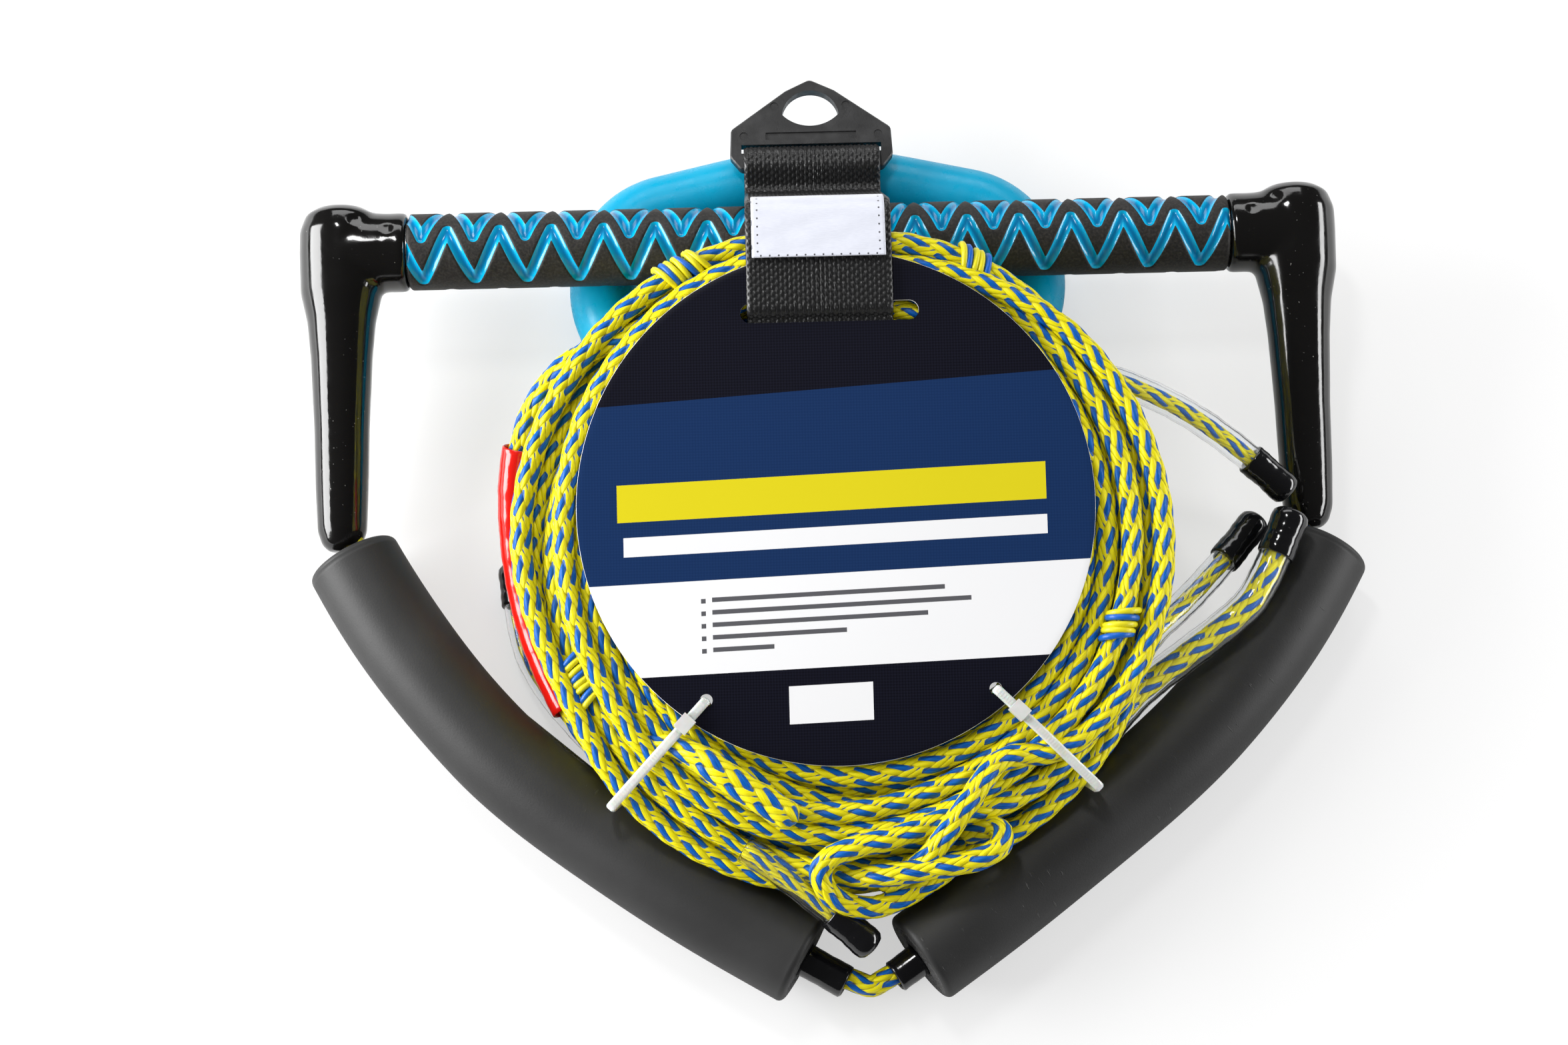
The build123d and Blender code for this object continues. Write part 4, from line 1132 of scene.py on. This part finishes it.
def ribbon(name, path, across, width, thick, step, material, relief=None):
    """A flat band along a path in layout millimetres, woven or toothed by relief(along, across) on each face."""
    count = int(width / step) + 1
    tangent = np.gradient(path, axis=0)
    tangent /= np.linalg.norm(tangent, axis=1)[:, None]
    across = np.array(across, float)
    out = np.cross(tangent, across)
    out /= np.linalg.norm(out, axis=1)[:, None]
    along = distances(path)
    offset = np.linspace(-1, 1, count)
    edge = thick / 2 * np.sqrt(np.clip(1 - (np.abs(offset) ** (width / thick * 1.5)), 0.02, 1))
    raised = edge[None] + (relief(along[:, None], offset[None] * width / 2) if relief else 0)
    raised = np.broadcast_to(raised, (len(path), count))
    spread = path[:, None] + across * (offset[None, :, None] * width / 2)
    front = spread + out[:, None] * raised[..., None]
    back = (spread - out[:, None] * raised[..., None])[:, ::-1]
    points = np.concatenate([front, back], axis=1)
    columns = 2 * count
    uv_across = np.concatenate([offset, offset[::-1]]) * width / 2
    i, j = np.meshgrid(np.arange(len(path) - 1), np.arange(columns), indexing="ij")
    following = (j + 1) % columns
    uv = np.stack([uv_across[j], along[i], uv_across[following], along[i],
                   uv_across[following], along[i + 1], uv_across[j], along[i + 1]], axis=-1)
    faces = [grid_faces(len(path), columns)]
    span = np.arange(count - 1)
    for row, flip in ((0, False), (len(path) - 1, True)):
        low, high = row * columns + span, row * columns + columns - 1 - span
        quads = np.stack([low, high, high - 1, low + 1], axis=-1)
        faces.append(quads[:, ::-1] if flip else quads)
    uv = np.concatenate([uv.reshape(-1, 2), np.zeros((8 * (count - 1), 2))])
    return make_object(name, to_row(points.reshape(-1, 3)), faces, material, uv)


STRAP_WIDTH, STRAP_THICK, STRAP_X = 50.8, 1.8, -1.2
HANGER_BAR = (36.5, 32.4)  # y and z of the hanger's bar
LOOP_R = 5.2
SHOULDER_BEND = 9.0
LABEL_WIDTH, LABEL_THICK, LABEL_BELOW, LABEL_ABOVE = 46.5, 0.6, 8.0, 22.0
TIE_WIDTH, TIE_THICK, TIE_BEND = 3.4, 1.2, 2.0
TIE_LOOP = ((71.1, -0.9), (105.5, -0.9), (120.2, 38.0), (120.2, 46.9), (92.0, 50.5), (71.1, 50.5))


def strap_line():
    """The strap's folded line in layout millimetres: its corners and their bends."""
    bar_y, bar_z = HANGER_BAR

    def coil_yz(up, height):
        return tuple(on_coil(0.0, up, height)[1:])

    under = BAR_Z - GRIP_R - 1.2
    line = [(16.5, under), (bar_y - 9.5, bar_z - LOOP_R), (bar_y + LOOP_R, bar_z - LOOP_R),
            (bar_y + LOOP_R, bar_z + LOOP_R), (bar_y - 3.5, bar_z + LOOP_R), (bar_y - 12.0, bar_z - LOOP_R + 3.3),
            coil_yz(121.2, 49.0), coil_yz(111.0, 50.8), coil_yz(82.6, 50.8), coil_yz(80.8, 47.2),
            coil_yz(65.7, 47.2), coil_yz(65.7, -6.0), (-17.0, under), (15.9, under)]
    bends = [3.0, LOOP_R - 0.05, LOOP_R - 0.05, 4.0, 4.0, SHOULDER_BEND, 3.0, 1.2, 1.2, 4.0, 12.0, 12.0]
    return [(STRAP_X, y, z) for y, z in line], bends


def woven(along, across):
    """Raised cells of a coarse basket weave, staggered from one rib to the next."""
    rib = np.floor(across / 1.55)
    over = np.abs(np.cos(math.pi * (across / 1.55 - rib - 0.5)))
    cell = np.abs(np.cos(math.pi * (along / 2.5 + 0.5 * (rib % 2))))
    return 0.55 * np.sqrt(over * cell) - 0.38


def toothed(along, across):
    return 0.12 * np.abs(np.sin(math.pi * along / 1.1)) * (np.abs(across) < 1.1)


def make_strap():
    """The webbing strap and the satin label sewn over its shoulder."""
    corners, bends = strap_line()
    line = rounded(corners, bends, 0.5)
    strap = ribbon("strap_woven", line, (1, 0, 0), STRAP_WIDTH, STRAP_THICK, 0.39, WEBBING, woven)
    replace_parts(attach(strap, FIXED), "strap")

    before, shoulder, after = (np.array(corners[k]) for k in (5, 6, 7))
    climb, level = shoulder - before, after - shoulder
    climb, level = climb / np.linalg.norm(climb), level / np.linalg.norm(level)
    lift = STRAP_THICK / 2 + 0.25 + LABEL_THICK / 2
    outward = climb - level
    half_turn = math.acos(climb.dot(level)) / 2
    corner = shoulder + outward / np.linalg.norm(outward) * lift / math.cos(half_turn)
    ends = [corner - climb * LABEL_BELOW, corner, corner + level * LABEL_ABOVE]
    line = rounded(ends, [SHOULDER_BEND + lift], 0.4)
    label = ribbon("strap_label_satin", line, (1, 0, 0), LABEL_WIDTH, LABEL_THICK, 0.5, LABEL,
                   lambda along, across: 0.10 * np.sin(along * 0.7) * np.cos(across * 0.23))
    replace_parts(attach(label, FIXED), "strap_label")


def make_ties():
    """Two cable ties round the rope and through the card."""
    for word, angle in TIE_ANGLES.items():
        turn = math.radians(angle)
        loop = rounded([(r, h, 0.0) for r, h in TIE_LOOP], [TIE_BEND] * len(TIE_LOOP), 0.28, closed=True)
        line = on_coil(loop[:, 0] * math.cos(turn), loop[:, 0] * math.sin(turn), loop[:, 1])
        across = on_coil(-math.sin(turn), math.cos(turn), 0.0) - on_coil(0.0, 0.0, 0.0)
        band = ribbon(f"{word}_tie_toothed", line, across, TIE_WIDTH, TIE_THICK, 0.34, NYLON, toothed)
        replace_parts(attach(band, FIXED), f"{word}_tie_band")


# ======================================================================== card
CARD_R, CARD_ACROSS, CARD_UP = 89.5, -2.6, 14.2
CARD_LOW, CARD_THICK = 48.4, 1.2
CARD_COLUMNS = 240
CARD_SLOT = (-3.0, 82.0, 62.0, 7.0)  # middle across and up, length and width
TIE_HOLE_R, TIE_HOLE_AT = 2.2, 71.1


def cutter(outline, low, high):
    """A prism through the card, for a hole of that outline in card millimetres."""
    count = len(outline)
    points = np.concatenate([on_coil(outline[:, 0], outline[:, 1], h) for h in (low, high)])
    j = np.arange(count)
    sides = np.stack([j, (j + 1) % count, (j + 1) % count + count, j + count], axis=-1)
    caps = np.stack([np.arange(count)[::-1], np.arange(count) + count])
    return make_object("card_cutter", to_row(points), [sides, caps], CARD)


def make_card():
    """The printed card: a slightly sprung disc with a slot for the strap and a hole for each tie."""
    radii = np.concatenate([[0.02], np.linspace(2.0, CARD_R - 0.4, 45), [CARD_R - 0.1, CARD_R]])
    heights = np.concatenate([np.full(len(radii) - 2, 0.5), [0.44, 0.3]]) * CARD_THICK
    turn = np.arange(CARD_COLUMNS) * 2 * math.pi / CARD_COLUMNS
    radii, heights = np.concatenate([radii, radii[::-1]]), np.concatenate([heights, -heights[::-1]])
    across = CARD_ACROSS + radii[:, None] * np.cos(turn)
    up = CARD_UP + radii[:, None] * np.sin(turn)
    spring = 0.35 * np.sin(across / 31.0 + 0.4) * np.sin(up / 40.0 + 1.0)
    height = CARD_LOW + CARD_THICK / 2 + heights[:, None] + spring
    points = to_row(on_coil(across, up, height).reshape(-1, 3))
    rim = np.arange(CARD_COLUMNS)[None]
    faces = [grid_faces(len(radii), CARD_COLUMNS), rim[:, ::-1], (len(radii) - 1) * CARD_COLUMNS + rim]
    card = make_object("card_printed", points, faces, CARD)
    middle_across, middle_up, length, width = CARD_SLOT
    end = (length - width) / 2
    half_round = np.linspace(-math.pi / 2, math.pi / 2, 17)
    right = np.stack([end + width / 2 * np.cos(half_round), width / 2 * np.sin(half_round)], axis=-1)
    outline = np.concatenate([right, -right]) + (middle_across, middle_up)
    holes = [outline]
    ring = np.linspace(0, 2 * math.pi, 25)[:-1]
    for angle in TIE_ANGLES.values():
        centre = TIE_HOLE_AT * np.array((math.cos(math.radians(angle)), math.sin(math.radians(angle))))
        holes.append(centre + TIE_HOLE_R * np.stack([np.cos(ring), np.sin(ring)], axis=-1))
    tools = []
    for hole in holes:
        tool = cutter(hole, CARD_LOW - 3, CARD_LOW + 4)
        cut = card.modifiers.new("hole", "BOOLEAN")
        cut.operation, cut.object, cut.solver = "DIFFERENCE", tool, "EXACT"
        tools.append(tool)
    bpy.context.view_layer.update()
    mesh = bpy.data.meshes.new_from_object(card.evaluated_get(bpy.context.evaluated_depsgraph_get()))
    card.modifiers.clear()
    card.data = mesh
    for tool in tools:
        bpy.data.objects.remove(tool)
    mesh.materials.clear()
    mesh.materials.append(CARD)
    mesh.materials.append(CARD_EDGE)
    places = (np.array([v.co for v in mesh.vertices]) - to_row((COIL_CENTRE[0], COIL_Y, COIL_LOW_Z))) / MM
    up_slope = places[:, 1] * math.cos(COIL_SLOPE) + places[:, 2] * math.sin(COIL_SLOPE)
    uv = np.stack([places[:, 0], up_slope], axis=-1)
    corner = np.empty(len(mesh.loops), np.int32)
    mesh.loops.foreach_get("vertex_index", corner)
    layer = mesh.uv_layers.get("UVMap") or mesh.uv_layers.new(name="UVMap")
    layer.data.foreach_set("uv", uv[corner].astype(np.float32).ravel())
    facing = np.empty(len(mesh.polygons) * 3, np.float32)
    mesh.polygons.foreach_get("normal", facing)
    outward = facing.reshape(-1, 3) @ np.array((0.0, -math.sin(COIL_SLOPE), math.cos(COIL_SLOPE)))
    mesh.polygons.foreach_set("material_index", (outward < 0.8).astype(np.int32))
    mesh.set_sharp_from_angle(angle=math.radians(35))
    mesh.update()
    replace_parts(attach(card, FIXED), "card")


# ======================================================================== CAD shapes that only need a material
CARRIED = {
    "bar_tube": ALUMINIUM, "left_arm_core": ALUMINIUM, "right_arm_core": ALUMINIUM, "arm_rivets": STEEL,
    "trick_handle_core": ALUMINIUM, "trick_handle_cover": TPR_CYAN, "hanger": HANGER,
    "left_tie_head": NYLON, "right_tie_head": NYLON, "left_stop_knot": ROPE, "right_stop_knot": ROPE,
}


def finish_carried():
    for node, material in CARRIED.items():
        mesh = bpy.data.objects[node].data
        mesh.materials.clear()
        mesh.materials.append(material)


# ======================================================================== camera, floor and light
CAMERA_AT = (-23.9, -432.8, 1010.9)
CAMERA_AIM = (-15.0, -94.7, 0.0)
CAMERA_RIGHT = Vector((0.99966, -0.02618, 0.0))
LENS = 66.0
FLOOR_HALF = 4.0  # metres
FLOOR_LIFT = 0.55  # how far the floor is lifted to white for the camera
FLOOR_MIRRORED = 0.75  # its colour in reflections
FILL = 0.34  # the world's level on the object
WORLD_MIRRORED = 0.05  # and in reflections


def make_camera():
    data = bpy.data.cameras.new("camera")
    data.lens, data.sensor_width = LENS, 36.0
    camera = bpy.data.objects.new("camera", data)
    bpy.context.scene.collection.objects.link(camera)
    place, aim = Vector(to_row(CAMERA_AT)), Vector(to_row(CAMERA_AIM))
    back = (place - aim).normalized()
    right = (CAMERA_RIGHT - back * CAMERA_RIGHT.dot(back)).normalized()
    camera.matrix_world = Matrix((
        (right.x, back.cross(right).x, back.x, place.x),
        (right.y, back.cross(right).y, back.y, place.y),
        (right.z, back.cross(right).z, back.z, place.z),
        (0.0, 0.0, 0.0, 1.0),
    ))
    bpy.context.scene.camera = camera


def make_light(name, place, aim, size, watts):
    """A softbox at a layout point, facing another; size is (width, height) in metres."""
    data = bpy.data.lights.new(name, "AREA")
    data.shape, data.size, data.size_y, data.energy = "RECTANGLE", *size, watts
    lamp = bpy.data.objects.new(name, data)
    bpy.context.scene.collection.objects.link(lamp)
    lamp.location = to_row(place)
    lamp.rotation_euler = Vector(np.subtract(aim, place)).to_track_quat("-Z", "Y").to_euler()


def seen_by(tree, camera, glossy, others):
    """A number for rays from the camera or through clear pieces, another for reflections, one for the rest."""
    path = tree.nodes.new("ShaderNodeLightPath")
    direct = math_node(tree, "MAXIMUM", path.outputs["Is Camera Ray"], path.outputs["Is Transmission Ray"])
    bounced = math_node(tree, "SUBTRACT", 1.0, direct)
    mirrored = math_node(tree, "MULTIPLY", path.outputs["Is Glossy Ray"], bounced)
    rest = math_node(tree, "SUBTRACT", bounced, mirrored)
    level = math_node(tree, "MULTIPLY_ADD", direct, camera, math_node(tree, "MULTIPLY", rest, others))
    return math_node(tree, "MULTIPLY_ADD", mirrored, glossy, level)


def make_floor():
    """A white floor that takes the shadow; the camera sees it lifted towards the paper white of the backdrop."""
    corners = to_row(np.array([(-1, -1, 0), (1, -1, 0), (1, 1, 0), (-1, 1, 0)]) * FLOOR_HALF / MM)
    made = Finish("floor_white", (0.93, 0.93, 0.93), 0.9, Specular_IOR_Level=0.1)
    made.set("Base Color", seen_by(made.tree, 0.97, FLOOR_MIRRORED, 0.85))
    output = made.tree.nodes["Material Output"]
    glow = made.node("ShaderNodeEmission")
    blend = made.node("ShaderNodeMixShader")
    made.feed(blend.inputs[0], seen_by(made.tree, FLOOR_LIFT, 0.0, 0.0))
    made.tree.links.new(made.shader.outputs[0], blend.inputs[1])
    made.tree.links.new(glow.outputs[0], blend.inputs[2])
    made.tree.links.new(blend.outputs[0], output.inputs["Surface"])
    make_object("floor", corners, [np.array([[0, 1, 2, 3]])], made.material)


def make_world():
    """Even grey fill from every side, dim in reflections, and white where the camera sees past the floor."""
    world = bpy.data.worlds.new("studio")
    bpy.context.scene.world = world
    world.use_nodes = True
    background = world.node_tree.nodes["Background"]
    background.inputs["Color"].default_value = (1.0, 1.0, 1.0, 1.0)
    level = seen_by(world.node_tree, 1.0, WORLD_MIRRORED, FILL)
    world.node_tree.links.new(level, background.inputs["Strength"])


def make_studio():
    make_world()
    make_floor()
    middle = (0.0, -100.0, 10.0)
    make_light("left_softbox", (-930.0, -60.0, 380.0), middle, (0.9, 0.50), 18.0)
    make_light("right_strip", (930.0, -120.0, 300.0), middle, (0.9, 0.20), 5.6)
    make_light("overhead_box", (-260.0, 420.0, 1250.0), middle, (0.12, 0.26), 3.0)
    make_light("back_softbox", (0.0, 950.0, 700.0), middle, (1.0, 0.4), 4.0)
    bpy.context.scene.view_settings.view_transform = "Standard"


# ======================================================================== the scene
make_camera()
make_ropes()
make_bridle()
make_grip()
make_arm(-1, "left")
make_arm(1, "right")
make_float("left", LEFT_FLOAT_PATH)
make_float("right", RIGHT_FLOAT_PATH)
make_strap()
make_ties()
make_card()
finish_carried()
make_studio()
